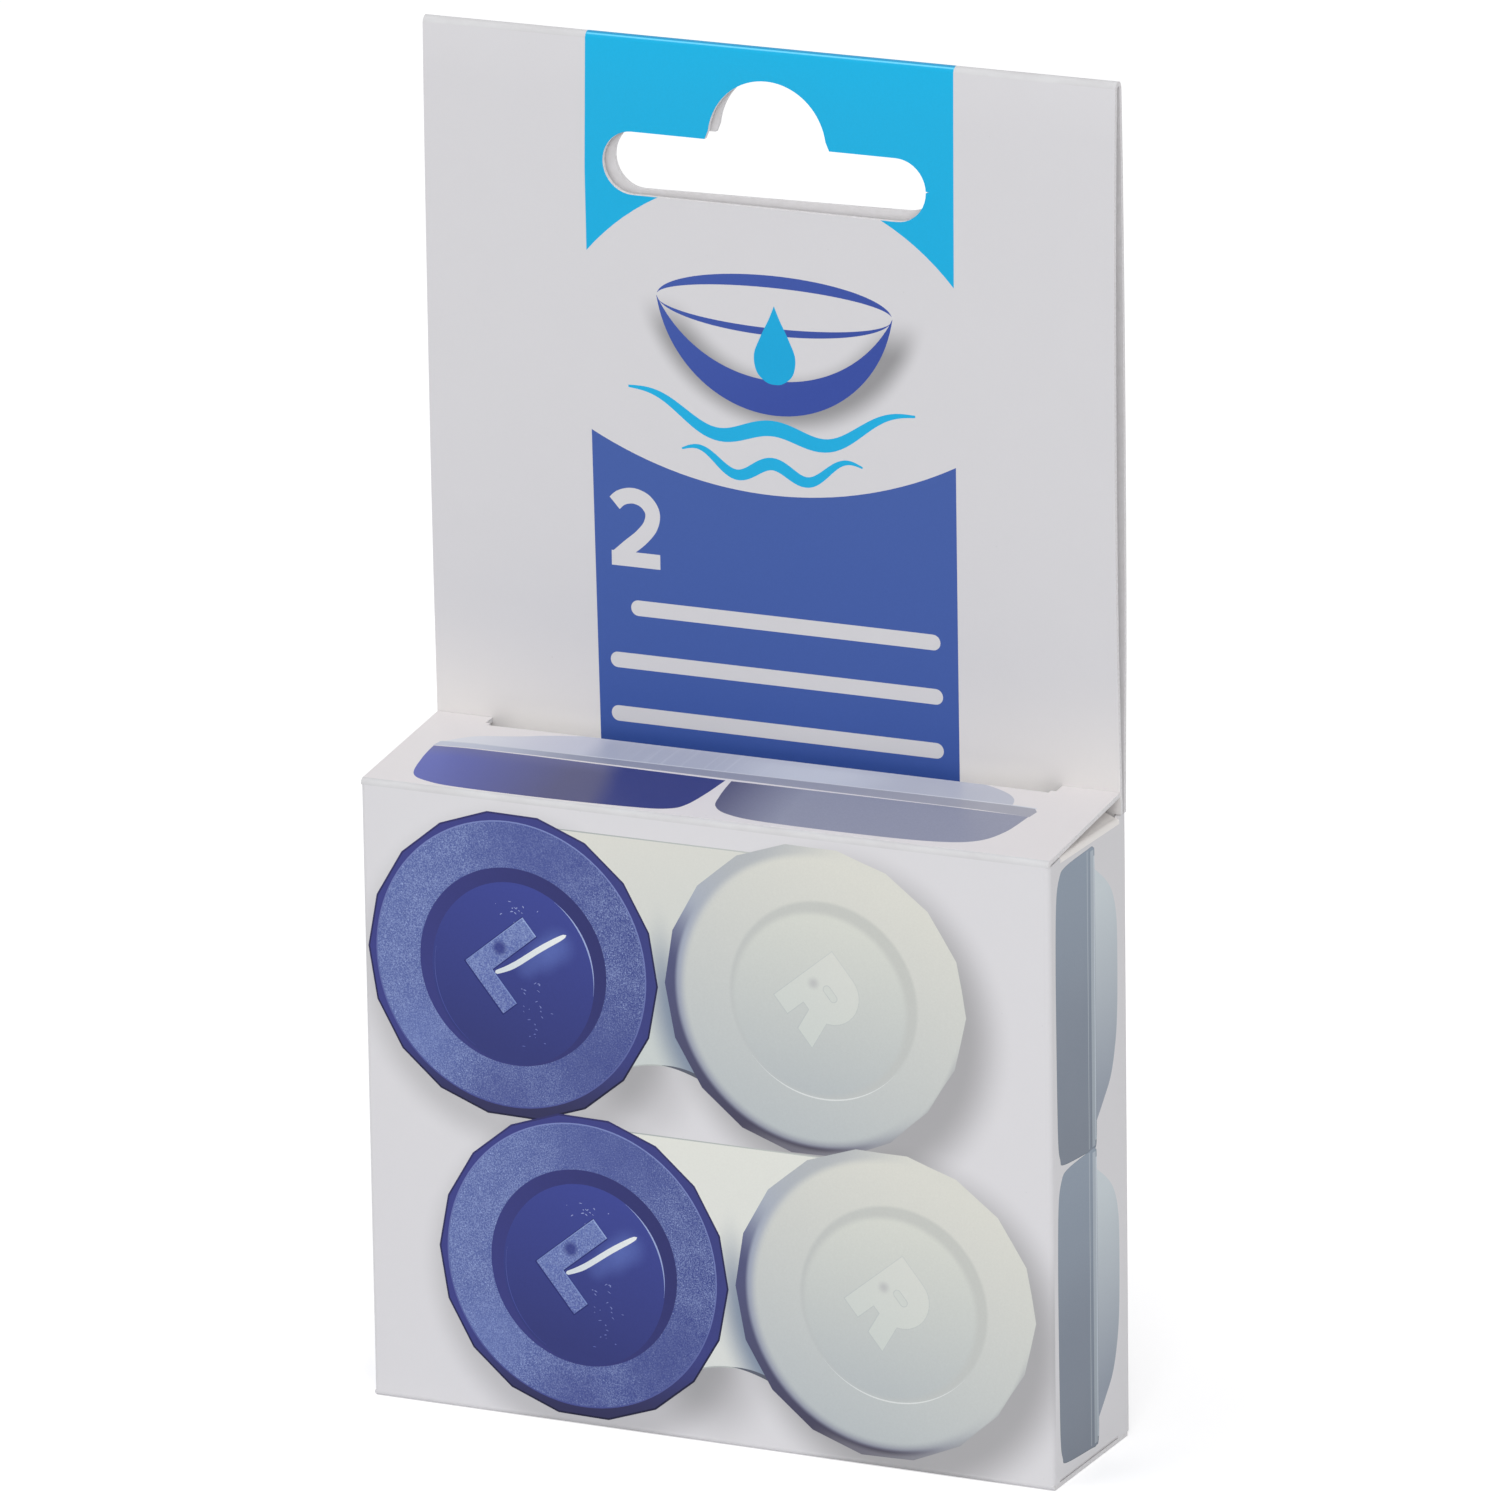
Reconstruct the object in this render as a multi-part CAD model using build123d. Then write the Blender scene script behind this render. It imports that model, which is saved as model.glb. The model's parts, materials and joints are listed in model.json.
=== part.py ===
from build123d import *
from math import cos, radians, sqrt
import os

# Hang-tab folding carton with two flat contact lens cases inside, one above the other.
# Millimetres. X runs along the carton's width, Y from its front to its back, Z up.
# The origin is under the middle of the carton, on the surface that it stands on.
# The carton is sized from the cases that it holds, so the cases come first.

# --- screw caps: a many-sided skirt, a flat top ring and a sunk dish with a raised letter
cap_corner_radius = 14.6
cap_facets = 18
cap_height = 7.7
cap_wall = 2.3
cap_roof = 1.3
cap_edge_inset = 1.2
cap_edge_drop = 0.9
cap_running_gap = 0.15
dish_inset = 5.3
dish_side = 1.1
dish_depth = 1.4
dish_rise = 0.7
dish_wall = 0.9
plug_depth = 1.3
plug_width = 1.0

# --- raised letters
letter_height = 7.4
letter_width = 6.0
letter_stem = 2.1
letter_bar = 1.6
letter_proud = 0.25
letter_turn = -50.0

# --- case body: a plate with two threaded necks in front of it and two bowls behind it
case_cap_gap = 1.6
plate_thickness = 1.0
plate_inset = 0.5
web_top_drop = 1.0
web_waist_reach = 7.1
neck_clearance = 1.3
neck_wall = 1.3
neck_height = 6.2
bowl_shoulder = 0.9
bowl_depth = 4.7
bowl_foot_radius = 5.5
bowl_bulge = 1.5
bowl_wall = 1.1

# --- thread between a neck and its cap
thread_lead = 3.0
thread_root_width = 1.0
thread_tip_width = 0.5
thread_depth = 0.8
thread_side_gap = 0.12
neck_thread_start = 1.9
neck_thread_turns = 1.0
cap_thread_turns = 0.6

# --- how the two cases lie in the carton
case_stagger = 7.0
row_clearance = 0.35
case_end_clearance = 1.05
case_front_clearance = 0.5
case_rear_clearance = 2.55
case_lift = 0.25

# --- board and creases
board = 0.45
flap_gap = 0.1
crease_round = 0.35

# --- header: the back panel runs up and folds over itself, with a hook slot through both plies
header_height = 69.2
ply_gap = 0.33
ply_tail = 6.0
ply_tail_clearance = 0.2
slot_width = 32.0
slot_height = 6.0
slot_bump_radius = 6.0
slot_top_margin = 3.1
slot_slip_right = 0.8
slot_slip_up = 0.45
glue_strip_width = 4.0
glue_strip_height = 44.0
glue_strip_margin = 5.0

# --- closures: a lid that folds back from the front panel, with a tuck flap behind two slits
lid_rise = 7.6
lid_side_relief = 0.2
ear_width = 5.6
ear_clearance = 0.12
slit_setback = 1.5
slit_width = 0.5
tuck_length = 9.0
tuck_corner = 4.0
dust_flap_length = 16.0
dust_front_margin = 0.9
dust_front_taper = 4.0
dust_rear_gap = 0.3
dust_rear_taper = 1.0

# --- glued seam inside the back left corner
seam_width = 12.0
seam_end_margin = 10.0
seam_taper = 3.0

# --- places worked out from the sizes above
cap_pitch = 2 * cap_corner_radius + case_cap_gap
cap_top = cap_running_gap + cap_height
cap_bore_radius = cap_corner_radius - cap_wall
dish_rim_radius = cap_corner_radius - dish_inset
neck_radius = cap_bore_radius - neck_clearance
bowl_radius = neck_radius + bowl_shoulder
plate_radius = cap_corner_radius - plate_inset
well_depth = plate_thickness + bowl_depth
case_length = cap_pitch + 2 * cap_corner_radius
row_pitch = sqrt((2 * cap_corner_radius) ** 2 - case_stagger**2) + row_clearance

carton_width = case_length + case_stagger + 2 * (case_end_clearance + board)
carton_depth = case_front_clearance + cap_top + well_depth + case_rear_clearance + 2 * board
half_width = carton_width / 2
front_y = -carton_depth / 2
back_y = carton_depth / 2
closure_height = 2 * (board + flap_gap)
case_low_z = closure_height + case_lift + cap_corner_radius
case_high_z = case_low_z + row_pitch
carton_height = case_high_z + cap_corner_radius + case_lift + closure_height
wall_low = board + flap_gap
wall_high = carton_height - wall_low
plate_y = front_y + board + case_front_clearance + cap_top

header_top = carton_height + header_height
header_thickness = 2 * board + ply_gap
ply_y = back_y - header_thickness
fold_z = header_top - header_thickness / 2

top_reach = (ply_y - front_y - ear_clearance) / cos(radians(lid_rise))
base_reach = carton_depth - board - ear_clearance
tuck_y_top = front_y + (top_reach - slit_setback) * cos(radians(lid_rise)) - board
tuck_y_base = front_y + base_reach - slit_setback - board


def block(x_span, y_span, z_span):
    """A rectangular solid between low and high coordinates along each axis."""
    spans = (x_span, y_span, z_span)
    size = [high - low for low, high in spans]
    middle = [(high + low) / 2 for low, high in spans]
    return Pos(*middle) * Box(*size)


# ---------------------------------------------------------------- contact lens cases


def thread_ridge(root_radius, start_z, turns, side):
    """A right-handed ridge that winds up from start_z on a wall at root_radius.
    side is 1 for a ridge that stands outward and -1 for one that stands inward."""
    sunk = root_radius - side * thread_side_gap
    tip = root_radius + side * thread_depth
    root_half, tip_half = thread_root_width / 2, thread_tip_width / 2
    section = make_face(
        Polyline(
            (sunk, 0, start_z - root_half),
            (tip, 0, start_z - tip_half),
            (tip, 0, start_z + tip_half),
            (sunk, 0, start_z + root_half),
            close=True,
        )
    )
    path = Pos(0, 0, start_z) * Helix(thread_lead, turns * thread_lead, root_radius)
    return sweep(section, path, is_frenet=True)


def pot(neck_r, rim_r, foot_r, floor_z):
    """A straight neck that stands on Z = 0, and a rounded bowl under it down to floor_z."""
    neck = extrude(Circle(neck_r), neck_height)
    wall = SagittaArc((rim_r, 0), (foot_r, floor_z), bowl_bulge)
    inner = Polyline((foot_r, floor_z), (0, floor_z), (0, 0), (rim_r, 0))
    return neck + revolve(Plane.XZ * make_face(wall + inner), Axis.Z)


def case_plate():
    """The plate: two discs joined by a web, straight along its top and waisted below."""
    half_pitch = cap_pitch / 2
    reach = web_waist_reach
    waist = (half_pitch**2 + reach**2 - plate_radius**2) / (2 * (plate_radius - reach))
    waist_y = -reach - waist
    web_low = waist_y * plate_radius / (plate_radius + waist)
    web_high = plate_radius - web_top_drop
    web = Pos(0, (web_low + web_high) / 2) * Rectangle(cap_pitch, web_high - web_low)
    outline = web - Pos(0, waist_y) * Circle(waist)
    for side in (-1, 1):
        outline += Pos(side * half_pitch, 0) * Circle(plate_radius)
    return extrude(outline, -plate_thickness)


def case_body():
    """A whole case body, with its necks along +Z and the plate's front face at Z = 0."""
    body = case_plate()
    outside = pot(neck_radius, bowl_radius, bowl_foot_radius, -well_depth)
    outside += thread_ridge(neck_radius, neck_thread_start, neck_thread_turns, 1)
    bore = neck_radius - neck_wall
    hollow = pot(bore, bore, bowl_foot_radius, bowl_wall - well_depth)
    wells = [Pos(side * cap_pitch / 2, 0, 0) for side in (-1, 1)]
    for well in wells:
        body += well * outside
    for well in wells:
        body -= well * hollow
    return body


def letter_stroke(left, right, low, high):
    """A rectangle between the given edges."""
    return Pos((left + right) / 2, (low + high) / 2) * Rectangle(right - left, high - low)


def letter_l():
    """A block letter L, centred on the origin."""
    right, top = letter_width / 2, letter_height / 2
    upright = letter_stroke(-right, letter_stem - right, -top, top)
    return upright + letter_stroke(-right, right, -top, letter_bar - top)


def letter_r():
    """A block letter R, centred on the origin."""
    right, top = letter_width / 2, letter_height / 2
    upright = letter_stroke(-right, letter_stem - right, -top, top)
    outer = (letter_height + letter_bar) / 4
    inner = outer - letter_bar
    head = letter_stroke(-right, right - outer, top - 2 * outer, top)
    head += Pos(right - outer, top - outer) * Circle(outer)
    head -= letter_stroke(letter_stem - right, right - outer, top - outer - inner, top - outer + inner)
    head -= Pos(right - outer, top - outer) * Circle(inner)
    knee_z = top - 2 * outer + inner
    leg = make_face(
        Polyline(
            (right - outer - letter_stem / 2, knee_z),
            (right - outer + letter_stem / 2, knee_z),
            (right, -top),
            (right - letter_stem, -top),
            close=True,
        )
    )
    return upright + head + leg


def cap(letter):
    """A screw cap on Z, in the case body's frame, with its letter raised in the dish."""
    floor_z = cap_top - dish_depth
    crown_z = floor_z + dish_rise
    roof_z = cap_top - cap_roof
    plug_outer = neck_radius - neck_wall - cap_running_gap
    plug_inner = plug_outer - plug_width
    profile = Polyline(
        (cap_corner_radius, 0, cap_running_gap),
        (cap_corner_radius, 0, cap_top - cap_edge_drop),
        (cap_corner_radius - cap_edge_inset, 0, cap_top),
        (dish_rim_radius, 0, cap_top),
        (dish_rim_radius - dish_side, 0, floor_z),
        (0, 0, crown_z),
        (0, 0, crown_z - dish_wall),
        (plug_inner, 0, floor_z - dish_wall),
        (plug_inner, 0, roof_z - plug_depth),
        (plug_outer, 0, roof_z - plug_depth),
        (plug_outer, 0, roof_z),
        (cap_bore_radius, 0, roof_z),
        (cap_bore_radius, 0, cap_running_gap),
        close=True,
    )
    prism = extrude(RegularPolygon(cap_corner_radius, cap_facets), cap_top)
    solid = revolve(make_face(profile), Axis.Z) & prism
    # The cap's ridge starts half a turn round, just under the neck's ridge there.
    ridge_drop = thread_root_width + thread_side_gap
    ridge_start = neck_thread_start - ridge_drop + thread_lead / 2
    solid += Rot(0, 0, 180) * thread_ridge(cap_bore_radius, ridge_start, cap_thread_turns, -1)
    root = Pos(0, 0, crown_z - dish_wall / 2) * Rot(0, 0, letter_turn)
    return solid + extrude(root * letter, dish_wall / 2 + letter_proud)


def in_carton(piece, centre_x, centre_z):
    """Stands a piece of a case up in the carton, with its caps to the front."""
    return Pos(centre_x, plate_y, centre_z) * Rot(90, 0, 0) * piece


# ---------------------------------------------------------------- carton walls and header


def hook_slot(slip_right=0.0, slip_up=0.0):
    """A cutter for the header's hook slot: a lobe with round ends under a round bump."""
    lobe_top = header_top - slot_top_margin - slot_bump_radius + slip_up
    outline = Pos(slip_right, lobe_top - slot_height / 2) * SlotOverall(slot_width, slot_height)
    outline += Pos(slip_right, lobe_top) * Circle(slot_bump_radius)
    return extrude(Plane.XZ * outline, carton_depth, both=True)


def front_panel():
    """The front wall, with its two upright corners creased round."""
    panel = block((-half_width, half_width), (front_y, front_y + board), (wall_low, wall_high))
    corners = panel.edges().filter_by(Axis.Z).group_by(Axis.Y)[0]
    return fillet(corners, crease_round)


def side_panel(side):
    """A side wall between the front and back panels. side is -1 for left and 1 for right."""
    edges = sorted((side * half_width, side * (half_width - board)))
    low, high = 2 * wall_low, carton_height - 2 * wall_low
    return block(edges, (front_y + board, back_y - board), (low, high))


def back_panel():
    """The back wall, which runs up as the header's back ply. Its half of the hook slot
    lies a little off the front ply's, as the fold brings it."""
    panel = block((-half_width, half_width), (back_y - board, back_y), (wall_low, fold_z))
    return panel - hook_slot(slot_slip_right, slot_slip_up)


def header_front_ply():
    """The header's front ply, folded over at the top. Its tail hangs down between the side
    walls, behind the top lid."""
    sheet_y = (ply_y, ply_y + board)
    flat = block((-half_width, half_width), sheet_y, (carton_height, fold_z))
    tail_half = half_width - board - ply_tail_clearance
    tail = block((-tail_half, tail_half), sheet_y, (carton_height - ply_tail, carton_height))
    tube = Cylinder(header_thickness / 2, carton_width) - Cylinder(ply_gap / 2, carton_width)
    fold = Pos(0, (ply_y + back_y) / 2, fold_z) * Rot(0, 90, 0) * tube
    fold &= block((-half_width, half_width), (ply_y, back_y), (fold_z, header_top))
    return flat + tail + fold - hook_slot()


def header_glue():
    """Two strips of adhesive that hold the header's plies together."""
    low, outer = carton_height + glue_strip_margin, half_width - glue_strip_margin
    y_span, z_span = (ply_y + board, back_y - board), (low, low + glue_strip_height)
    strips = []
    for side in (-1, 1):
        x_span = sorted((side * outer, side * (outer - glue_strip_width)))
        strips.append(block(x_span, y_span, z_span))
    return Compound(strips)


def seam_flap():
    """The glue flap of the left side panel, stuck flat inside the back panel."""
    low, high = wall_low + seam_end_margin, wall_high - seam_end_margin
    left = board - half_width
    right = left + seam_width
    outline = make_face(
        Polyline((left, low), (right, low + seam_taper), (right, high - seam_taper), (left, high), close=True)
    )
    return Pos(0, back_y - board, 0) * extrude(Plane.XZ * outline, board)


# ---------------------------------------------------------------- carton closures


def lid(reach):
    """A closure lid in its own frame: hinged on the X axis, lying along +Y, outer face at Z = 0.
    Its two ears reach the back. Between them it stops short, where the tuck flap folds."""
    width = carton_width - 2 * lid_side_relief
    outline = Pos(0, reach / 2) * Rectangle(width, reach)
    outline -= Pos(0, reach - slit_setback / 2) * Rectangle(width - 2 * ear_width, slit_setback)
    panel = extrude(outline, -board)
    crease = panel.edges().filter_by(Axis.X).group_by(Axis.Y)[0].sort_by(Axis.Z)[-1]
    return fillet(crease, crease_round)


def tuck_flap(reach):
    """A tuck flap in its lid's frame, square to the lid along the lid's fold line."""
    width = carton_width - 2 * (lid_side_relief + ear_width + slit_width)
    high, low = -board - flap_gap, -tuck_length
    outline = Pos(0, (high + low) / 2) * Rectangle(width, high - low)
    outline = fillet(outline.vertices().group_by(Axis.Y)[0], tuck_corner)
    return Pos(0, reach - slit_setback, 0) * extrude(Plane.XZ * outline, board)


def hung_tuck_flap(reach):
    """A tuck flap turned about its fold, so that it hangs upright under a lid that rises."""
    fold_y = reach - slit_setback - board
    return Pos(0, fold_y, -board) * Rot(-lid_rise, 0, 0) * Pos(0, -fold_y, board) * tuck_flap(reach)


def dust_flap(side, tuck_y):
    """A dust flap, outer face at Z = 0. side is -1 for left and 1 for right. It is cut back
    along its front so that the lid clears it as both open, and it ends short of the tuck flap."""
    front, rear = front_y + board + dust_front_margin, tuck_y - dust_rear_gap
    root, tip = half_width, half_width - dust_flap_length
    corners = [
        (root, front),
        (tip, front + dust_front_taper),
        (tip, rear - dust_rear_taper),
        (root, rear),
    ]
    outline = make_face(Polyline(*[(side * x, y) for x, y in corners], close=True))
    return extrude(outline, board, dir=(0, 0, -1))


def turned_over(piece):
    """Mirrors a closure piece made for the top, so that it closes the bottom."""
    return mirror(piece, about=Plane.XY)


lid_place = Pos(0, front_y, carton_height) * Rot(lid_rise, 0, 0)
base_place = Pos(0, front_y, 0)

pieces = {
    "front_panel": front_panel(),
    "left_side_panel": side_panel(-1),
    "right_side_panel": side_panel(1),
    "back_panel": back_panel(),
    "header_front_ply": header_front_ply(),
    "header_glue": header_glue(),
    "seam_flap": seam_flap(),
    "top_lid": lid_place * lid(top_reach),
    "top_tuck_flap": lid_place * hung_tuck_flap(top_reach),
    "bottom_lid": base_place * turned_over(lid(base_reach)),
    "bottom_tuck_flap": base_place * turned_over(tuck_flap(base_reach)),
}
for name, side in (("left", -1), ("right", 1)):
    pieces[f"top_{name}_dust_flap"] = Pos(0, 0, wall_high) * dust_flap(side, tuck_y_top)
    base_flap = turned_over(dust_flap(side, tuck_y_base))
    pieces[f"bottom_{name}_dust_flap"] = Pos(0, 0, wall_low) * base_flap

body, left_cap, right_cap = case_body(), cap(letter_l()), cap(letter_r())
for row, centre_x, centre_z in (
    ("upper", -case_stagger / 2, case_high_z),
    ("lower", case_stagger / 2, case_low_z),
):
    pieces[f"{row}_case_body"] = in_carton(body, centre_x, centre_z)
    pieces[f"{row}_left_cap"] = in_carton(left_cap, centre_x - cap_pitch / 2, centre_z)
    pieces[f"{row}_right_cap"] = in_carton(right_cap, centre_x + cap_pitch / 2, centre_z)

os.makedirs("parts", exist_ok=True)
for name, piece in pieces.items():
    export_step(piece, f"parts/{name}.step")
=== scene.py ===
import json
from math import ceil, cos, hypot, pi, radians, sin, tan
from random import Random

import bpy
from mathutils import Matrix, Vector
from mathutils.geometry import delaunay_2d_cdt


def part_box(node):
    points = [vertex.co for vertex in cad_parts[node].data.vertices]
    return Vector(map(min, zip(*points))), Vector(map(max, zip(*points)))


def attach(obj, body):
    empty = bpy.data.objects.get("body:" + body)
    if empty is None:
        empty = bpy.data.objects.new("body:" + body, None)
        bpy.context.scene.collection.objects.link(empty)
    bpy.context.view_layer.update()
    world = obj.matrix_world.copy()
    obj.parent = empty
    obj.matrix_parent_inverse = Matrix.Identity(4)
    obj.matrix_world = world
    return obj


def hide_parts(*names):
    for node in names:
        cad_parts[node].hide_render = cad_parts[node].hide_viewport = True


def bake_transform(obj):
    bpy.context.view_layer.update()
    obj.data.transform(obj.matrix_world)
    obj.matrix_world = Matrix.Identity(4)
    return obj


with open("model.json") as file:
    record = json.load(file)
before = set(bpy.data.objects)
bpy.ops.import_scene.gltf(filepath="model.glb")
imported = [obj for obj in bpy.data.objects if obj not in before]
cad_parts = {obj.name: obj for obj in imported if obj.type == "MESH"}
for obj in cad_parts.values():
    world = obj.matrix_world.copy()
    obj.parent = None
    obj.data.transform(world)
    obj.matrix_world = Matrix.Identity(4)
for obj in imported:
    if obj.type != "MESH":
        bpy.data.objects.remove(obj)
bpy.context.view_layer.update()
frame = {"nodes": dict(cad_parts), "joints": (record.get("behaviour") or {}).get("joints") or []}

# Hang-tab carton with two contact lens cases inside. Lengths here are millimetres until a
# mesh is made. X runs along the carton's width, Y from front to back and Z up.
MM = 0.001


def node_box(node):
    """Lowest and highest corners of a CAD node, in millimetres."""
    low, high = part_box(node)
    return low / MM, high / MM


def placed(name, data, place=(0, 0, 0)):
    """Puts an object in the scene."""
    made = bpy.data.objects.new(name, data)
    made.location = place
    bpy.context.scene.collection.objects.link(made)
    return made


def joint_place(joint):
    """A point on a joint's axis, in millimetres."""
    found = [j for j in frame["joints"] if j["name"] == joint][0]
    return Vector(found["pos_m"]) / MM


# --- sizes read from the frame
front_low, front_high = node_box("front_panel")
side_low, side_high = node_box("right_side_panel")
back_low, back_high = node_box("back_panel")
ply_low, ply_high = node_box("header_front_ply")
lid_hinge = joint_place("top_lid_hinge")
base_hinge = joint_place("bottom_lid_hinge")
half_width = front_high.x
front_y = front_low.y
back_y = back_high.y
board = front_high.y - front_low.y
fold_z = back_high.z

# --- board: a crease's outer radius and its straight steps, the angle from which an edge is
# sharp, and how far the front sinks in its middle
fold_round = 0.5
fold_steps = 6
sharp_edge = radians(40)
front_dish = 0.03
# The bottom dust flaps fold tighter. Their fold begins this far below the side walls' ends,
# and they lie this far below their solids.
base_fold_round = 0.25
base_fold_drop = 0.32
base_settle = 0.08

# --- lids
lid_rise = radians(7.6)
lid_half = half_width - 0.05
ear_reach = (node_box("top_lid")[1].y - front_y) / cos(lid_rise)
tuck_half = node_box("top_tuck_flap")[1].x
tuck_corner = 4.0
# A slit parts the tuck flap from the ear on each side of it.
slit_width = 0.5
slit_depth = 1.5
# The top lid stands up in its middle, and comes down over this length at each end. Its print
# is moved forward by this many times its height, so that it looks straight from the front.
lid_crown = 0.42
crown_edge = 11.0
crown_lean = 2.2

# --- dust flaps
dust_front_taper = 4.0
dust_rear_taper = 1.0
# The top ones lie a little higher than their solids, close under the lid. They are cut back at
# the front, and have a shoulder at the rear.
flap_lift = 0.35
flap_cut_back = 1.2
flap_shoulder = 2.0
# Their rear stands up towards the lid by this much, over a short way from the fold.
flap_spring = 1.35
spring_run = 3.5
# The side walls reach up beside them, almost to the lid.
wall_end_rise = 0.55
ear_seat = 0.28
wall_top = lid_hinge.z - 0.03

# --- header: how far its plies stand apart at the right, the share of that at the left, and where
# it begins, above the lid and beside the middle
back_flare_reach = 0.5
ply_flare_reach = 0.8
flare_left = 0.4
flare_foot = 6.0
flare_side = 12.0
# The front ply's tail has a little room inside the walls.
tail_play = 0.2

# --- hook slot, and how far the back ply's is out of line
slot_half = 16.0
slot_left_extra = 0.75
slot_round = 3.0
slot_bump = 6.0
slot_flare = 0.3
slot_top_margin = 3.1
slot_slip = (0.8, 0.7)
slot_slip_turn = 1.0

# --- print on the front: the lower case is the upper one moved by row_shift
row_shift = (6.75, -28.6)
blue_cap_place = (-19.6, 44.2)
white_cap_place = (11.5, 44.5)
letter_turn = -51.0
letter_half = (3.0, 3.8)
letter_stem = 2.1
letter_bar = 1.7
letter_head = (letter_half[1] + letter_bar) / 2

# --- print on the header
lens_place = (0.5, 109.3)
lens_radius = 12.6


# ---------------------------------------------------------------- flat outlines


def held(share):
    """A share held between 0 and 1."""
    return min(max(share, 0.0), 1.0)


def arc(centre, radius, start, end, steps=24, squash=1.0):
    """Points along a round or squashed arc, from one angle to another in degrees."""
    points = []
    for step in range(steps + 1):
        angle = radians(start + (end - start) * step / steps)
        points.append((centre[0] + radius * cos(angle), centre[1] + squash * radius * sin(angle)))
    return points


def disc(centre, radius, steps=96, turn=0.0, squash=1.0):
    """A closed ring of points round a centre."""
    return arc(centre, radius, turn, turn + 360, steps, squash)[:-1]


def bar(left, right, low, high, grow=0.0):
    """A rectangle, optionally grown all round."""
    left, right, low, high = left - grow, right + grow, low - grow, high + grow
    return [(left, low), (right, low), (right, high), (left, high)]


def rounded_box(low, high, radius, steps=6):
    """A rectangle with round corners, between two corners."""
    points = []
    for right, top, start in ((1, 1, 0), (0, 1, 90), (0, 0, 180), (1, 0, 270)):
        x = high[0] - radius if right else low[0] + radius
        y = high[1] - radius if top else low[1] + radius
        points += arc((x, y), radius, start, start + 90, steps)
    return points


def swelling(ends):
    """How wide a stroke is along its length: full in the middle, and a share of that at both ends."""
    return lambda share: ends + (1 - ends) * sin(pi * share)


even_width = swelling(1.0)


def ribbon(points, width, profile=swelling(0.0)):
    """A stroke along points. profile gives its width, as a share, from its start at 0 to its end at 1."""
    left, right = [], []
    for place, (x, y) in enumerate(points):
        before, after = points[max(place - 1, 0)], points[min(place + 1, len(points) - 1)]
        run_x, run_y = after[0] - before[0], after[1] - before[1]
        length = hypot(run_x, run_y)
        half = max(width / 2 * profile(place / (len(points) - 1)), 0.01)
        step_x, step_y = -run_y / length * half, run_x / length * half
        left.append((x + step_x, y + step_y))
        right.append((x - step_x, y - step_y))
    return left + right[::-1]


def on_curve(t, a, b, c, d):
    """The value a share t of the way from b to c, on a smooth curve through a, b, c and d."""
    return 0.5 * (2 * b + (c - a) * t + (2 * a - 5 * b + 4 * c - d) * t * t + (3 * b - a - 3 * c + d) * t**3)


def smooth_through(points, steps=8):
    """Points of a smooth curve that passes through every given point."""
    found = []
    for place in range(len(points) - 1):
        ends = points[max(place - 1, 0)], points[min(place + 2, len(points) - 1)]
        near = list(zip(ends[0], points[place], points[place + 1], ends[1]))
        found += [tuple(on_curve(step / steps, *values) for values in near) for step in range(steps)]
    return found + [points[-1]]


def turned(points, degrees, centre=(0.0, 0.0)):
    """Points turned about the origin and then put at a centre."""
    c, s = cos(radians(degrees)), sin(radians(degrees))
    return [(centre[0] + x * c - y * s, centre[1] + x * s + y * c) for x, y in points]


def mirrored(points):
    """Points mirrored from left to right."""
    return [(-x, y) for x, y in reversed(points)]


def both_sides(right):
    """A closed outline, even on both sides, from the points of its right half."""
    return mirrored(right[:1]) + right + mirrored(right[1:])


def turns_left(points):
    """Whether a closed ring of points runs anticlockwise."""
    return sum(a[0] * b[1] - b[0] * a[1] for a, b in zip(points, points[1:] + points[:1])) > 0


def extent(points):
    """The lowest and the highest corner round points."""
    return [min(p[k] for p in points) for k in (0, 1)], [max(p[k] for p in points) for k in (0, 1)]


def hook_slot_outline(slip=(0.0, 0.0), slip_turn=0.0):
    """The hook slot: a lobe with round ends and a round bump on its top edge.
    Its left end is punched a little further out than its right end."""
    reach = slot_half - slot_round
    points = [(slot_bump + slot_flare, 0.0), *arc((0.0, 0.0), slot_bump, 8, 172, 40)]
    points.append((-slot_bump - slot_flare, 0.0))
    points += arc((-reach - slot_left_extra, -slot_round), slot_round, 90, 270, 20)
    points += arc((reach, -slot_round), slot_round, -90, 90, 20)
    return turned(points, slip_turn, (slip[0], ply_high.z - slot_top_margin - slot_bump + slip[1]))


# ---------------------------------------------------------------- folded board


class Course:
    """The line that a board's outer face follows in one plane: straight runs and bends.
    side is 1 when the board's thickness lies to the left of the line and -1 to the right."""

    def __init__(self, start, heading, side, zero=0.0):
        self.legs = []
        self.bend_spans = []
        self.place, self.heading, self.side, self.length = start, heading, side, zero

    def run(self, length):
        self.legs.append((self.length, self.place, self.heading, None))
        self.place = self._ahead(self.place, self.heading, length)
        self.length += length
        return self

    def bend(self, radius, turn):
        """Turns by an angle in radians, to the left if it is positive."""
        end = self.length + radius * abs(turn)
        self.legs.append((self.length, self.place, self.heading, (radius, turn)))
        self.bend_spans.append((self.length, end))
        self.place = self.at(end, 0.0)
        self.heading += turn
        self.length = end
        return self

    @staticmethod
    def _ahead(place, heading, length):
        return place[0] + length * cos(heading), place[1] + length * sin(heading)

    def at(self, distance, depth):
        """The point at a distance along the outer face and a depth into the board."""
        passed = [leg for leg in self.legs if leg[0] <= distance + 1e-9]
        start, place, heading, bent = passed[-1] if passed else self.legs[0]
        ahead = distance - start
        if not bent:
            x, y = self._ahead(place, heading, ahead)
            return x - self.side * depth * sin(heading), y + self.side * depth * cos(heading)
        radius, turn = bent
        hand = 1 if turn > 0 else -1
        centre_x, centre_y = place[0] - hand * radius * sin(heading), place[1] + hand * radius * cos(heading)
        now = heading + hand * ahead / radius
        reach = hand * radius - self.side * depth
        return centre_x + reach * sin(now), centre_y - reach * cos(now)


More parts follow.
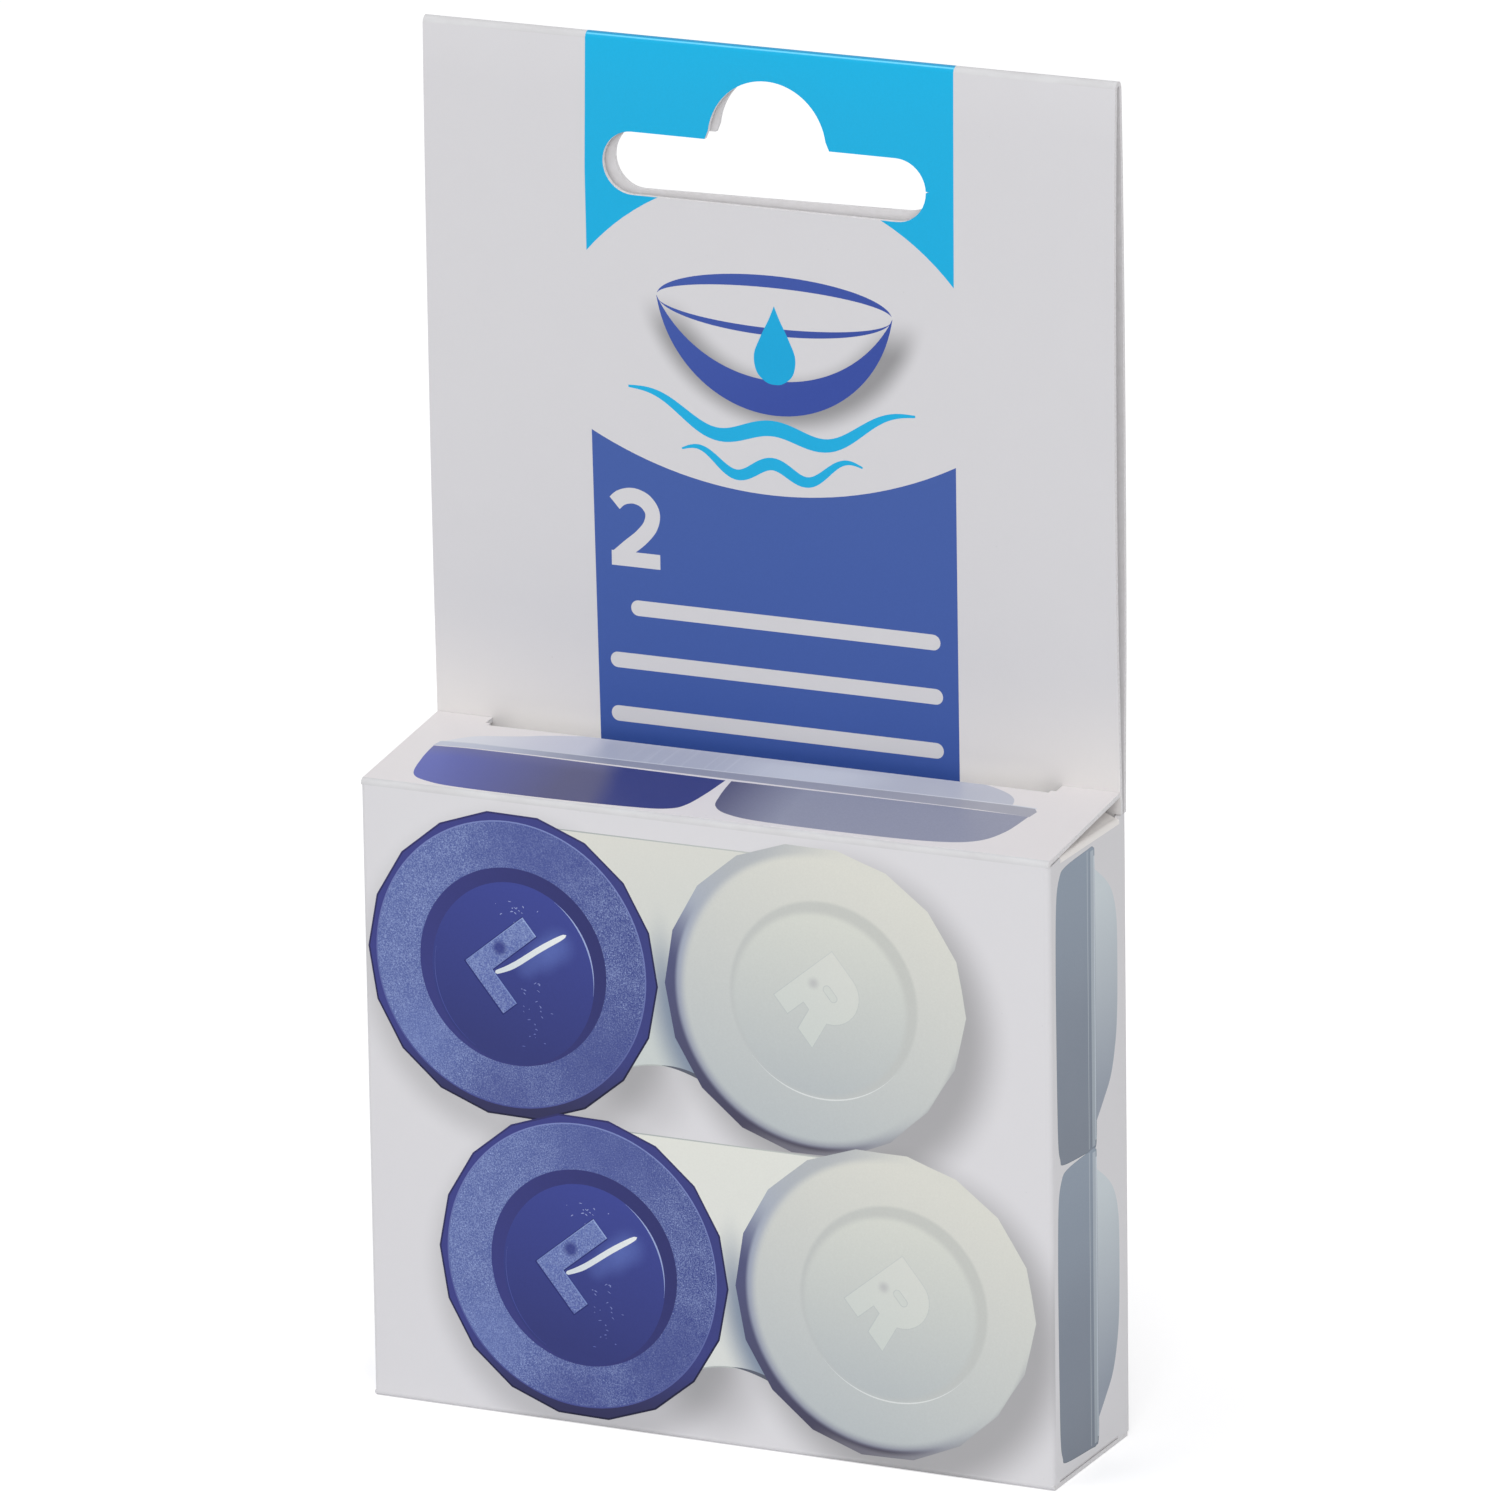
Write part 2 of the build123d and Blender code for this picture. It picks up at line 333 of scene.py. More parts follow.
def laid(course, plane):
    """How a flat pattern is laid on a course: a function from pattern (u, v) and depth to a point."""
    if plane == "XY":
        return lambda u, v, depth: Vector((*course.at(u, depth), v))
    if plane == "XZ":
        return lambda u, v, depth: Vector((course.at(u, depth)[0], v, course.at(u, depth)[1]))
    return lambda u, v, depth: Vector((u, *course.at(v, depth)))


def fold_lines(course):
    """Distances along a course where a pattern needs edges, so that it bends round."""
    lines = []
    for start, end in course.bend_spans:
        lines += [start + (end - start) * step / fold_steps for step in range(fold_steps + 1)]
    return lines


def dished(outline, depth):
    """How far a panel sinks towards its middle, for each place on its flat pattern."""
    low, high = extent(outline)

    def sink(*place):
        shares = [held((place[k] - low[k]) / (high[k] - low[k])) for k in (0, 1)]
        return depth * sin(pi * shares[0]) * sin(pi * shares[1])

    return sink


def lies_flat(*place):
    return 0.0


def sheet(
    name, outline, course, plane, marks=(), holes=(),
    finish="white_board", fold_finish="creased_board", sink=lies_flat, grid=7.0,
):
    """A piece of board with real thickness, cut to an outline and laid on a course.
    marks are (finish, outline, centre), painted in order. sink gives how deep each place lies.
    grid is the widest that a face may be."""
    flat = laid(course, plane)
    along = 0 if plane != "YZ" else 1
    low, high = extent(outline)
    points, edges, faces = [], [], []
    for ring in [outline] + [mark[1] for mark in marks] + list(holes):
        faces.append(list(range(len(points), len(points) + len(ring))))
        points += [Vector(p) for p in (ring if turns_left(ring) else ring[::-1])]

    def line(axis, value):
        for limit in (low, high):
            end = Vector((value, value))
            end[1 - axis] = limit[1 - axis]
            points.append(end)
        edges.append((len(points) - 2, len(points) - 1))

    for value in fold_lines(course):
        if low[along] < value < high[along]:
            line(along, value)
    for axis in (0, 1):
        count = ceil((high[axis] - low[axis]) / grid)
        for step in range(1, count):
            line(axis, low[axis] + (high[axis] - low[axis]) * step / count)

    # Each triangle knows the rings that it lies in: the outline is 0, then come marks and holes.
    cut = delaunay_2d_cdt(points, edges, faces, 0, 1e-5)
    places, triangles, sources = cut[0], cut[2], cut[5]
    inside = [0 in rings and max(rings) <= len(marks) for rings in sources]
    kept = [(t, max(rings)) for t, rings, stays in zip(triangles, sources, inside) if stays]
    used = sorted({v for triangle, ring in kept for v in triangle})
    index = {v: k for k, v in enumerate(used)}
    outer = [flat(*places[v], sink(*places[v])) * MM for v in used]
    inner = [flat(*places[v], sink(*places[v]) + board) * MM for v in used]
    first = [index[v] for v in kept[0][0]]
    normal = (outer[first[1]] - outer[first[0]]).cross(outer[first[2]] - outer[first[0]])
    facing = normal.dot(outer[first[0]] - inner[first[0]]) > 0

    finishes_here = [finish] + [mark[0] for mark in marks]
    centres = [(0.0, 0.0)] + [mark[2] for mark in marks]
    slots = sorted({*finishes_here, fold_finish}) + ["raw_board", "cut_board"]
    mesh_faces, mesh_slots, print_places = [], [], []
    count = len(used)
    border = {}

    def add_face(corners, label, centre, side):
        """One face, with its places on the print. side is 0 outside, 1 inside and 2 on a cut edge."""
        mesh_faces.append(corners)
        mesh_slots.append(slots.index(label))
        for corner in corners:
            place = places[used[corner % count]]
            print_places.extend((place.x - centre[0], place.y - centre[1], side))

    for triangle, source in kept:
        ring = [index[v] for v in triangle]
        if not facing:
            ring = ring[::-1]
        middle = sum((places[v] for v in triangle), Vector((0, 0))) / 3
        creased = source == 0 and any(a < middle[along] < b for a, b in course.bend_spans)
        add_face(ring, fold_finish if creased else finishes_here[source], centres[source], 0.0)
        add_face([v + count for v in reversed(ring)], "raw_board", (0.0, 0.0), 1.0)
        for a, b in zip(ring, ring[1:] + ring[:1]):
            if (b, a) in border:
                del border[(b, a)]
            else:
                border[(a, b)] = True
    for a, b in border:
        add_face([b, a, a + count, b + count], "cut_board", (0.0, 0.0), 2.0)

    mesh = bpy.data.meshes.new(name)
    mesh.from_pydata(outer + inner, [], mesh_faces)
    for label in slots:
        mesh.materials.append(finishes[label])
    mesh.polygons.foreach_set("material_index", mesh_slots)
    attribute = mesh.attributes.new("print_place", "FLOAT_VECTOR", "CORNER")
    attribute.data.foreach_set("vector", print_places)
    mesh.shade_smooth()
    mesh.set_sharp_from_angle(angle=sharp_edge)
    mesh.validate()
    return placed(name, mesh)


# ---------------------------------------------------------------- shader wiring

# Varnish adds this much white to an ink, and the studio's light shows a colour at this level.
varnish_sheen = 0.022
plain_level = 0.91


def tone(red, green, blue):
    """A screen colour from 0 to 255, as the linear colour that the shaders take."""
    linear = []
    for value in (red, green, blue):
        share = value / 255
        linear.append(share / 12.92 if share <= 0.04045 else ((share + 0.055) / 1.055) ** 2.4)
    return (*linear, 1.0)


def print_tone(red, green, blue):
    """The linear colour of an ink that shows as a screen colour once it is varnished and lit."""
    linear = tone(red, green, blue)[:3]
    return (*(max((value - varnish_sheen) / plain_level, 0.002) for value in linear), 1.0)


class Wiring:
    """Adds nodes to a node tree and joins them. An input is a socket or a plain value."""

    def __init__(self, tree):
        self.tree = tree

    def put(self, node, socket, value):
        if isinstance(value, bpy.types.NodeSocket):
            self.tree.links.new(value, node.inputs[socket])
        else:
            node.inputs[socket].default_value = value

    def node(self, kind, inputs=None, **settings):
        made = self.tree.nodes.new("ShaderNode" + kind)
        for setting, value in settings.items():
            setattr(made, setting, value)
        for socket, value in (inputs or {}).items():
            self.put(made, socket, value)
        return made

    def math(self, operation, a, b=0.0, c=0.0, clamp=False):
        return self.node("Math", {0: a, 1: b, 2: c}, operation=operation, use_clamp=clamp).outputs[0]

    def times(self, a, b, clamp=False):
        return self.math("MULTIPLY", a, b, clamp=clamp)

    def plus(self, a, b):
        return self.math("ADD", a, b)

    def less(self, a, b, clamp=False):
        return self.math("SUBTRACT", a, b, clamp=clamp)

    def flipped(self, mask):
        """1 where a mask is 0, and 0 where it is 1."""
        return self.less(1.0, mask)

    def vector(self, operation, a, b, output=0):
        return self.node("VectorMath", {0: a, 1: b}, operation=operation).outputs[output]

    def stretched(self, place, scale):
        return self.vector("MULTIPLY", place, scale)

    def parts(self, place):
        """The three numbers of a place."""
        return self.node("SeparateXYZ", {0: place}).outputs

    def spread(self, value, low, high, to_low=0.0, to_high=1.0, kind="LINEAR"):
        """A value taken from one range to another, and held at its ends."""
        inputs = {"Value": value, "From Min": low, "From Max": high, "To Min": to_low, "To Max": to_high}
        return self.node("MapRange", inputs, interpolation_type=kind).outputs["Result"]

    def smooth(self, value, low, high, to_low=0.0, to_high=1.0):
        return self.spread(value, low, high, to_low, to_high, "SMOOTHSTEP")

    def mix(self, share, a, b, blend_type="MIX"):
        made = self.node("Mix", {0: share, 6: a, 7: b}, data_type="RGBA", blend_type=blend_type)
        return made.outputs[2]

    def noise(self, vector, scale, detail=2.0, roughness=0.5):
        inputs = {"Vector": vector, "Scale": scale, "Detail": detail, "Roughness": roughness}
        return self.node("TexNoise", inputs).outputs["Fac"]

    def cells(self, vector, scale):
        """How far each point is from the middle of its cell."""
        return self.node("TexVoronoi", {"Vector": vector, "Scale": scale}).outputs["Distance"]

    def shaded(self, colour, shade):
        """A colour made lighter or darker by a value."""
        grey = self.node("CombineColor", {0: shade, 1: shade, 2: shade}).outputs[0]
        return self.mix(1.0, colour, grey, "MULTIPLY")

    def group(self, name, **inputs):
        made = self.node("Group")
        made.node_tree = bpy.data.node_groups[name]
        for socket, value in inputs.items():
            self.put(made, socket, value)
        return made.outputs

    def place(self):
        """Where a point is on the print, in millimetres from the mark's own centre."""
        made = self.node("Attribute", attribute_type="GEOMETRY", attribute_name="print_place")
        return made.outputs["Vector"]

    def body_place(self):
        """Where a point is on the whole object, in millimetres."""
        inputs = {0: self.node("TexCoord").outputs["Object"], "Scale": 1 / MM}
        return self.node("VectorMath", inputs, operation="SCALE").outputs[0]

    def round_mask(self, place, centre, inner, outer):
        """1 inside a circle, fading to 0 between two radii."""
        return self.group("Round fade", Vector=place, Centre=(*centre, 0), Inner=inner, Outer=outer)["Mask"]

    def fade(self, place, angle, reach):
        """Rises from 0 to 1 across a mark, towards an angle in degrees."""
        return self.group("Direction fade", Vector=place, Angle=radians(angle), Reach=reach)["Fade"]

    def inked(self, share, colour, over):
        """A colour with a share of another ink over it."""
        return self.mix(share, colour, print_tone(*over))

    def across(self, place, angle, reach, low, high):
        """An ink that goes from one colour to another across its mark."""
        return self.inked(self.fade(place, angle, reach), print_tone(*low), high)

    def seen_itself(self):
        """1 where a surface is seen, straight or in a gloss, and 0 where it only lights others."""
        rays = self.node("LightPath").outputs
        mirrored_or_clear = self.math("MAXIMUM", rays["Is Glossy Ray"], rays["Is Transmission Ray"])
        return self.math("MAXIMUM", rays["Is Camera Ray"], mirrored_or_clear)


# ---------------------------------------------------------------- shared effects


def effect(name, inputs, *outputs):
    """Starts a node group. Returns its wiring, the place that it is given, its inputs and its end.
    inputs are values by name, or None for a second place. It puts out values by name."""
    tree = bpy.data.node_groups.new(name, "ShaderNodeTree")
    for label, value in {"Vector": None, **inputs}.items():
        kind = "NodeSocketVector" if value is None else "NodeSocketFloat"
        made = tree.interface.new_socket(label, in_out="INPUT", socket_type=kind)
        if value is not None:
            made.default_value = value
    for label in outputs:
        tree.interface.new_socket(label, in_out="OUTPUT", socket_type="NodeSocketFloat")
    w = Wiring(tree)
    given = tree.nodes.new("NodeGroupInput").outputs
    return w, given["Vector"], given, tree.nodes.new("NodeGroupOutput")


def build_board_grain():
    """Pressed paper fibres: a slight mottle and a fine tooth."""
    w, place, given, end = effect("Board grain", {"Fibre": 0.35, "Contrast": 0.03}, "Shade", "Height")
    fine = w.noise(place, w.math("DIVIDE", 1.0, given["Fibre"]), 3.0, 0.6)
    cloud = w.noise(place, 0.22, 2.0)
    speck = w.smooth(w.cells(place, 0.28), 0.012, 0.03)
    mottle = w.plus(w.times(fine, 0.55), w.times(cloud, 0.45))
    shade = w.math("MULTIPLY_ADD", w.less(mottle, 0.5), given["Contrast"], 1.0)
    w.put(end, "Shade", w.times(shade, w.spread(speck, 0, 1, 0.93, 1.0)))
    w.put(end, "Height", w.plus(fine, w.times(cloud, 0.5)))


def build_print_grain():
    """The fine screen of printed ink: rows of dots with a little noise."""
    w, place, given, end = effect("Print grain", {"Pitch": 0.2, "Contrast": 0.08}, "Shade")
    pitch = w.math("DIVIDE", 1.0, given["Pitch"])
    turn = w.node("VectorRotate", {"Vector": place, "Angle": radians(45)})
    dots, noise = w.cells(turn.outputs[0], pitch), w.noise(place, pitch, 2.0, 0.7)
    both = w.plus(w.times(dots, 0.5), w.times(noise, 0.8))
    w.put(end, "Shade", w.math("MULTIPLY_ADD", w.less(both, 0.6), given["Contrast"], 1.0))


def build_sparkle():
    """A fine even grain with brighter flecks, as on a surface that was blasted or sanded."""
    w, place, given, end = effect("Sparkle", {"Size": 0.2, "Amount": 0.3}, "Mask")
    scale = w.math("DIVIDE", 1.0, given["Size"])
    grains = w.noise(place, scale, 3.0, 0.75)
    patches = w.noise(place, w.times(scale, 0.06), 3.0, 0.6)
    fine = w.smooth(w.math("MULTIPLY_ADD", patches, 0.18, grains), 0.46, 0.84)
    flecks = w.flipped(w.smooth(w.cells(place, w.times(scale, 0.34)), 0.05, 0.22))
    w.put(end, "Mask", w.times(w.math("MULTIPLY_ADD", flecks, 0.8, fine), given["Amount"], clamp=True))


def build_direction_fade():
    """Rises from 0 to 1 across a mark, in the direction of an angle."""
    w, place, given, end = effect("Direction fade", {"Angle": 0.0, "Reach": 10.0}, "Fade")
    aim = {0: w.math("COSINE", given["Angle"]), 1: w.math("SINE", given["Angle"])}
    toward = w.node("CombineXYZ", aim).outputs[0]
    share = w.math("DIVIDE", w.vector("DOT_PRODUCT", place, toward, 1), given["Reach"])
    w.put(end, "Fade", w.spread(share, -1, 1))


def build_round_fade():
    """1 inside a circle and 0 outside it, with a soft edge between two radii."""
    w, place, given, end = effect("Round fade", {"Centre": None, "Inner": 1.0, "Outer": 2.0}, "Mask")
    flat = w.stretched(w.vector("SUBTRACT", place, given["Centre"]), (1, 1, 0))
    reach = w.node("VectorMath", {0: flat}, operation="LENGTH").outputs["Value"]
    w.put(end, "Mask", w.flipped(w.smooth(reach, given["Inner"], given["Outer"])))


def build_varnish():
    """How a varnished face varies in gloss, and its slight unevenness."""
    w, place, given, end = effect("Varnish", {"Roughness": 0.35, "Spread": 0.08}, "Roughness", "Height")
    cloud, tooth = w.noise(place, 0.15, 3.0), w.noise(place, 3.2, 2.0, 0.6)
    change = w.less(w.plus(cloud, w.times(tooth, 0.5)), 0.75)
    w.put(end, "Roughness", w.math("MULTIPLY_ADD", change, given["Spread"], given["Roughness"]))
    w.put(end, "Height", w.plus(w.times(tooth, 0.2), cloud))


def build_moulded_skin():
    """The fine skin of moulded plastic, with faint flow bands."""
    w, place, given, end = effect("Moulded skin", {"Grain": 0.25, "Tooth": 0.5}, "Shade", "Height")
    fine = w.noise(place, w.math("DIVIDE", 1.0, given["Grain"]), 3.0, 0.7)
    flow = w.noise(w.stretched(place, (1.0, 0.3, 1.0)), 0.12, 3.0, 0.6)
    w.put(end, "Shade", w.plus(w.plus(w.times(fine, 0.05), w.times(flow, 0.12)), 0.92))
    w.put(end, "Height", w.plus(w.times(fine, given["Tooth"]), flow))


def build_handling():
    """Faint scratches and dust from handling."""
    w, place, given, end = effect("Handling marks", {"Amount": 0.3}, "Mask")
    scratches = w.smooth(w.noise(w.stretched(place, (0.35, 0.35, 3.0)), 1.6, 4.0, 0.8), 0.66, 0.78)
    dust = w.smooth(w.noise(place, 5.0, 2.0, 0.8), 0.7, 0.82)
    w.put(end, "Mask", w.times(w.math("MAXIMUM", scratches, dust), given["Amount"]))


build_board_grain()
build_print_grain()
build_sparkle()
build_direction_fade()
build_round_fade()
build_varnish()
build_moulded_skin()
build_handling()


# ---------------------------------------------------------------- finishes

board_gloss = 0.42
ink_gloss = 0.36
board_white = tone(222, 221, 224)
# The header's white is the same board drawn a little darker: painted shade.
header_white = tone(216, 215, 218)


def material(name):
    """A new material with a Principled shader: the material, its wiring, its shader and its place."""
    made = bpy.data.materials.new(name)
    made.use_nodes = True
    w = Wiring(made.node_tree)
    return made, w, made.node_tree.nodes["Principled BSDF"], w.body_place()


def surfaced(w, shader, colour, roughness, height, strength, depth):
    """Joins a colour, a roughness and a relief, with its depth in millimetres, to a shader."""
    relief = w.node("Bump", {"Height": height, "Strength": strength, "Distance": depth * MM})
    w.put(shader, "Base Color", colour)
    w.put(shader, "Roughness", roughness)
    w.put(shader, "Normal", relief.outputs["Normal"])


def coated(w, shader, colour, body, roughness, tooth=0.02):
    """Joins a colour, an uneven gloss and a slight relief to the shader of varnished board."""
    varnish = w.group("Varnish", Vector=body, Roughness=roughness, Spread=0.1)
    surfaced(w, shader, colour, varnish["Roughness"], varnish["Height"], 0.25, tooth)
    w.put(shader, "IOR", 1.5)
    w.put(shader, "Specular IOR Level", 0.25)


def white_board(name, colour, shadows=(), top_shade=1.0):
    """Coated white board. shadows are printed soft shadows: centre, inner, outer, strength.
    The last argument is how much darker a wall is painted towards its top, as painted shade."""
    made, w, shader, body = material(name)
    grain = w.group("Board grain", Vector=body, Fibre=0.3, Contrast=0.035)["Shade"]
    # Painted shade: a wall can be drawn darker towards its top.
    shade = w.times(grain, w.spread(w.parts(body)[2], 0, 60, 1.0, top_shade))
    place = w.place() if shadows else None
    for centre, inner, outer, strength in shadows:
        mask = w.round_mask(place, centre, inner, outer)
        shade = w.times(shade, w.spread(mask, 0, 1, 1.0, 1.0 - strength))
    coated(w, shader, w.shaded(colour, shade), body, board_gloss)
    return made


def ink(name, low, high, angle=90, reach=14, contrast=0.1, extra=None, sparkle=None):
    """Printed ink that goes from one colour to another across its mark, towards an angle.
    sparkle is (colour, grain size, amount). extra may change the colour at the end."""
    made, w, shader, body = material(name)
    place = w.place()
    colour = w.across(place, angle, reach, low, high)
    if sparkle:
        bright, size, amount = sparkle
        colour = w.inked(w.group("Sparkle", Vector=body, Size=size, Amount=amount)["Mask"], colour, bright)
    if extra:
        colour = extra(w, place, colour)
    grain = w.group("Print grain", Vector=body, Pitch=0.2, Contrast=contrast)["Shade"]
    coated(w, shader, w.shaded(colour, grain), body, ink_gloss)
    return made


def front_shadows():
    """The printed shadows round both cases: beside each cap and under each web."""
    shadows = []
    for (dx, dz), web_strength in (((0.0, 0.0), 0.26), (row_shift, 0.31)):
        shadows.append(((13.2 + dx, 42.4 + dz), 13.2, 18.2, 0.44))
        shadows.append(((-6.6 + dx, 34.6 + dz), 1.0, 7.2, web_strength))
        shadows.append(((-19.0 + dx, 42.6 + dz), 14.0, 17.8, 0.26))
    return shadows


def header_board():
    """The header's white, with a printed soft shadow under the lens. It is painted paler towards the lid,
    most of all beside the tuck fold: painted light against the lid's shade.
    """
    made, w, shader, body = material("header_board")
    place = w.place()
    x, z = lens_place[0] + 0.7, lens_place[1] - 0.9
    outer = w.round_mask(place, (x, z), lens_radius + 0.4, lens_radius + 2.9)
    inner = w.round_mask(place, (x, z + 1.2), lens_radius - 2.6, lens_radius + 0.2)
    side, height = w.parts(place)[:2]
    below = w.smooth(height, z - 7.0, z - 2.5, 1.0, 0.0)
    ring = w.times(w.times(outer, w.flipped(inner)), below)
    grain = w.group("Board grain", Vector=body, Fibre=0.3, Contrast=0.035)["Shade"]
    shade = w.times(grain, w.spread(ring, 0, 1, 1.0, 0.45))
    # Painted light: paler towards the lid, and paler still low down beside the tuck fold.
    white = w.mix(w.smooth(height, 75.0, 62.0), header_white, tone(230, 227, 226))
    painted_light_by_fold = w.times(w.smooth(height, 65.0, 62.0), w.smooth(w.math("ABSOLUTE", side), 29.0, 26.0))
    white = w.mix(painted_light_by_fold, white, tone(244, 241, 239))
    coated(w, shader, w.shaded(white, shade), body, board_gloss)
    return made


# --- what some inks have besides their two colours


def round_spots(w, place, colour, *spots):
    """Lays soft round spots over a colour: centre, inner and outer radius, their colour, amount."""
    for centre, inner, outer, spot, amount in spots:
        colour = w.inked(w.times(w.round_mask(place, centre, inner, outer), amount), colour, spot)
    return colour


def white_cap_form(w, place, colour):
    """A shallow step and floor inside the pale ring, and a side that is dark on the left and below."""

    def outside(centre, inner, outer):
        return w.flipped(w.round_mask(place, centre, inner, outer))

    step = w.across(place, 60, 9.0, (186, 190, 190), (195, 197, 192))
    colour = w.mix(w.round_mask(place, (0.7, 0.2), 9.25, 9.7), colour, step)
    dish = w.across(place, 80, 9.0, (182, 188, 190), (212, 214, 206))
    colour = w.mix(w.round_mask(place, (0.3, -0.25), 8.35, 9.15), colour, dish)
    rim = w.times(outside((0.3, -0.35), 13.9, 14.8), w.smooth(w.fade(place, 145, 14.0), 0.68, 0.97))
    colour = w.inked(w.times(rim, 0.6), colour, (152, 159, 171))
    toward = w.fade(place, 40, 14.0)
    bevel = w.times(outside((0.0, -0.1), 13.1, 14.3), w.smooth(toward, 0.12, 0.62, 1.0, 0.0))
    colour = w.mix(bevel, colour, w.across(place, 118, 14.0, (112, 112, 134), (164, 172, 190)))
    side = w.times(outside((-0.05, 0.15), 14.0, 14.5), w.smooth(toward, 0.14, 0.38, 1.0, 0.0))
    colour = w.mix(side, colour, w.across(place, 118, 14.0, (74, 70, 80), (90, 94, 130)))
    edge = w.times(outside((0.0, -0.1), 14.0, 14.65), w.smooth(w.fade(place, -65, 14.0), 0.78, 0.93))
    right = w.spread(w.fade(place, -10, 14.0), 0.5, 1.0)
    return w.mix(w.times(edge, 0.9), colour, w.inked(right, print_tone(118, 117, 128), (166, 168, 172)))


def web_depth(w, place, colour):
    """The web falls into shade beside the white cap."""
    from_cap = w.vector("SUBTRACT", place, (16.0, -2.0, 0.0))
    near = w.round_mask(from_cap, (0, 0), 15.0, 18.4)
    toward = w.fade(from_cap, 205, 15.5)
    return w.inked(w.times(near, w.smooth(toward, 0.84, 0.98)), colour, (132, 144, 162))


def dish_haze(w, place, colour):
    """The light that spreads round the glint in the blue dish."""
    places = ((1.5, 0.1), 1.7, 0.3), ((3.1, 1.3), 2.3, 0.45), ((4.6, 2.4), 2.4, 0.45)
    spots = [(centre, 0.2, outer, (104, 122, 190), amount) for centre, outer, amount in places]
    return round_spots(w, place, colour, *spots)


def ring_glow(w, place, colour):
    """The flat ring is lighter at its left and deeper at its top and lower right."""
    deep = ((9.0, -8.6), 1.5, 9.0, (74, 82, 138), 0.6), ((3.0, 12.5), 2.0, 10.0, (78, 87, 146), 0.55)
    low = ((-1.0, -13.5), 1.0, 6.0, (74, 80, 136), 0.45), ((-9.6, -8.0), 0.5, 6.0, (116, 132, 186), 0.35)
    return round_spots(w, place, colour, *deep, *low)


def side_deep(w, place, colour):
    """The blue cap's side is darkest below."""
    return w.inked(w.smooth(w.parts(place)[1], -14.4, -6.5, 1.0, 0.0), colour, (60, 60, 91))


def gate_mark(w, place, colour):
    """The small dark dimple that the mould's gate leaves in a letter."""
    return round_spots(w, place, colour, ((-1.3, 1.6), 0.3, 1.0, (62, 68, 130), 0.9))


def white_gate_mark(w, place, colour):
    """The same dimple in a white cap's letter."""
    return round_spots(w, place, colour, ((-0.3, 1.75), 0.05, 0.8, (182, 183, 184), 0.75))


def lid_blue_deep(w, place, colour):
    """The lid's blue cap is clouded at its left and rear, and deep at its right."""
    side, rear = w.parts(place)[:2]
    colour = w.inked(w.smooth(rear, 1.0, 3.8, 0.0, 0.7), colour, (108, 110, 150))
    return w.inked(w.smooth(w.math("MULTIPLY_ADD", rear, 0.2, side), 9.7, 12.5), colour, (66, 72, 126))


def lid_streaks(w, place, colour):
    """Upright streaks of light in the clear bowl on the lid."""
    streaks = w.noise(w.stretched(place, (1.1, 0.03, 1.0)), 1.0, 2.0, 0.7)
    lit = w.times(w.smooth(streaks, 0.5, 0.68), w.round_mask(place, (-5.0, 0.0), 4.0, 12.0))
    colour = w.inked(w.times(lit, 0.55), colour, (192, 196, 208))
    colour = round_spots(w, place, colour, ((6.0, 0.5), 1.5, 11.5, (202, 206, 216), 0.85))
    side, rear = w.parts(place)[:2]
    colour = w.inked(w.smooth(rear, 0.6, 2.6, 0.0, 0.65), colour, (186, 188, 202))
    colour = w.inked(w.smooth(side, -14.8, -17.6), colour, (194, 196, 209))
    return w.inked(w.smooth(side, -20.0, -30.0), colour, (210, 212, 219))


def flange_gleam(w, place, colour):
    """The case's flange on the lid gleams at its left end."""
    return w.inked(w.smooth(w.parts(place)[0], -14.0, -30.0), colour, (186, 191, 205))


def skirt_cloud(w, place, colour):
    """The end of a case is deeper towards its middle height."""
    off_middle = w.math("ABSOLUTE", w.plus(w.parts(place)[1], 3.0))
    return w.inked(w.smooth(off_middle, 1.0, 9.0, 0.35, 0.0), colour, (108, 118, 134))


# --- bare board, glue and plastic


def raw_board():
    """The uncoated inside of the board: faint flecks in long fibres."""
    made, w, shader, body = material("raw_board")
    grain = w.group("Board grain", Vector=body, Fibre=0.5, Contrast=0.03)
    fibres = w.noise(w.stretched(body, (0.6, 2.0, 0.6)), 1.2, 3.0, 0.6)
    colour = w.mix(w.smooth(fibres, 0.35, 0.7), tone(217, 215, 216), tone(222, 220, 222))
    roughness = w.spread(fibres, 0, 1, 0.75, 0.95)
    surfaced(w, shader, w.shaded(colour, grain["Shade"]), roughness, grain["Height"], 0.4, 0.03)
    return made


def cut_board():
    """The cut edge of the board: pale pulp layers between two coated faces."""
    made, w, shader, body = material("cut_board")
    layers = w.noise(w.stretched(body, (1.0, 2.0, 2.0)), 2.0, 3.0, 0.7)
    colour = w.mix(w.smooth(layers, 0.35, 0.65), tone(220, 218, 219), tone(234, 233, 235))
    surfaced(w, shader, colour, w.spread(layers, 0, 1, 0.8, 0.95), layers, 0.4, 0.04)
    return made


def creased_board():
    """Board in a fold: darker than the white board, painted shade that tones down the light that a fold
    catches, with faint paler streaks of stretched coating.
    """
    made, w, shader, body = material("creased_board")
    grain = w.group("Board grain", Vector=body, Fibre=0.25, Contrast=0.04)
    paler_marks = w.smooth(w.noise(w.stretched(body, (0.25, 1.0, 0.25)), 0.8, 3.0, 0.6), 0.3, 0.75)
    # Painted shade: both tones are darker than the white board's.
    colour = w.mix(paler_marks, tone(210, 209, 211), tone(218, 218, 220))
    coated(w, shader, w.shaded(colour, grain["Shade"]), body, 0.6, 0.03)
    return made


def dried_glue():
    """Dried adhesive between the header's plies."""
    made, w, shader, body = material("dried_glue")
    clots = w.noise(body, 0.9, 3.0, 0.6)
    colour = w.mix(clots, tone(214, 205, 176), tone(236, 230, 208))
    surfaced(w, shader, colour, w.spread(clots, 0, 1, 0.3, 0.6), clots, 0.6, 0.05)
    return made


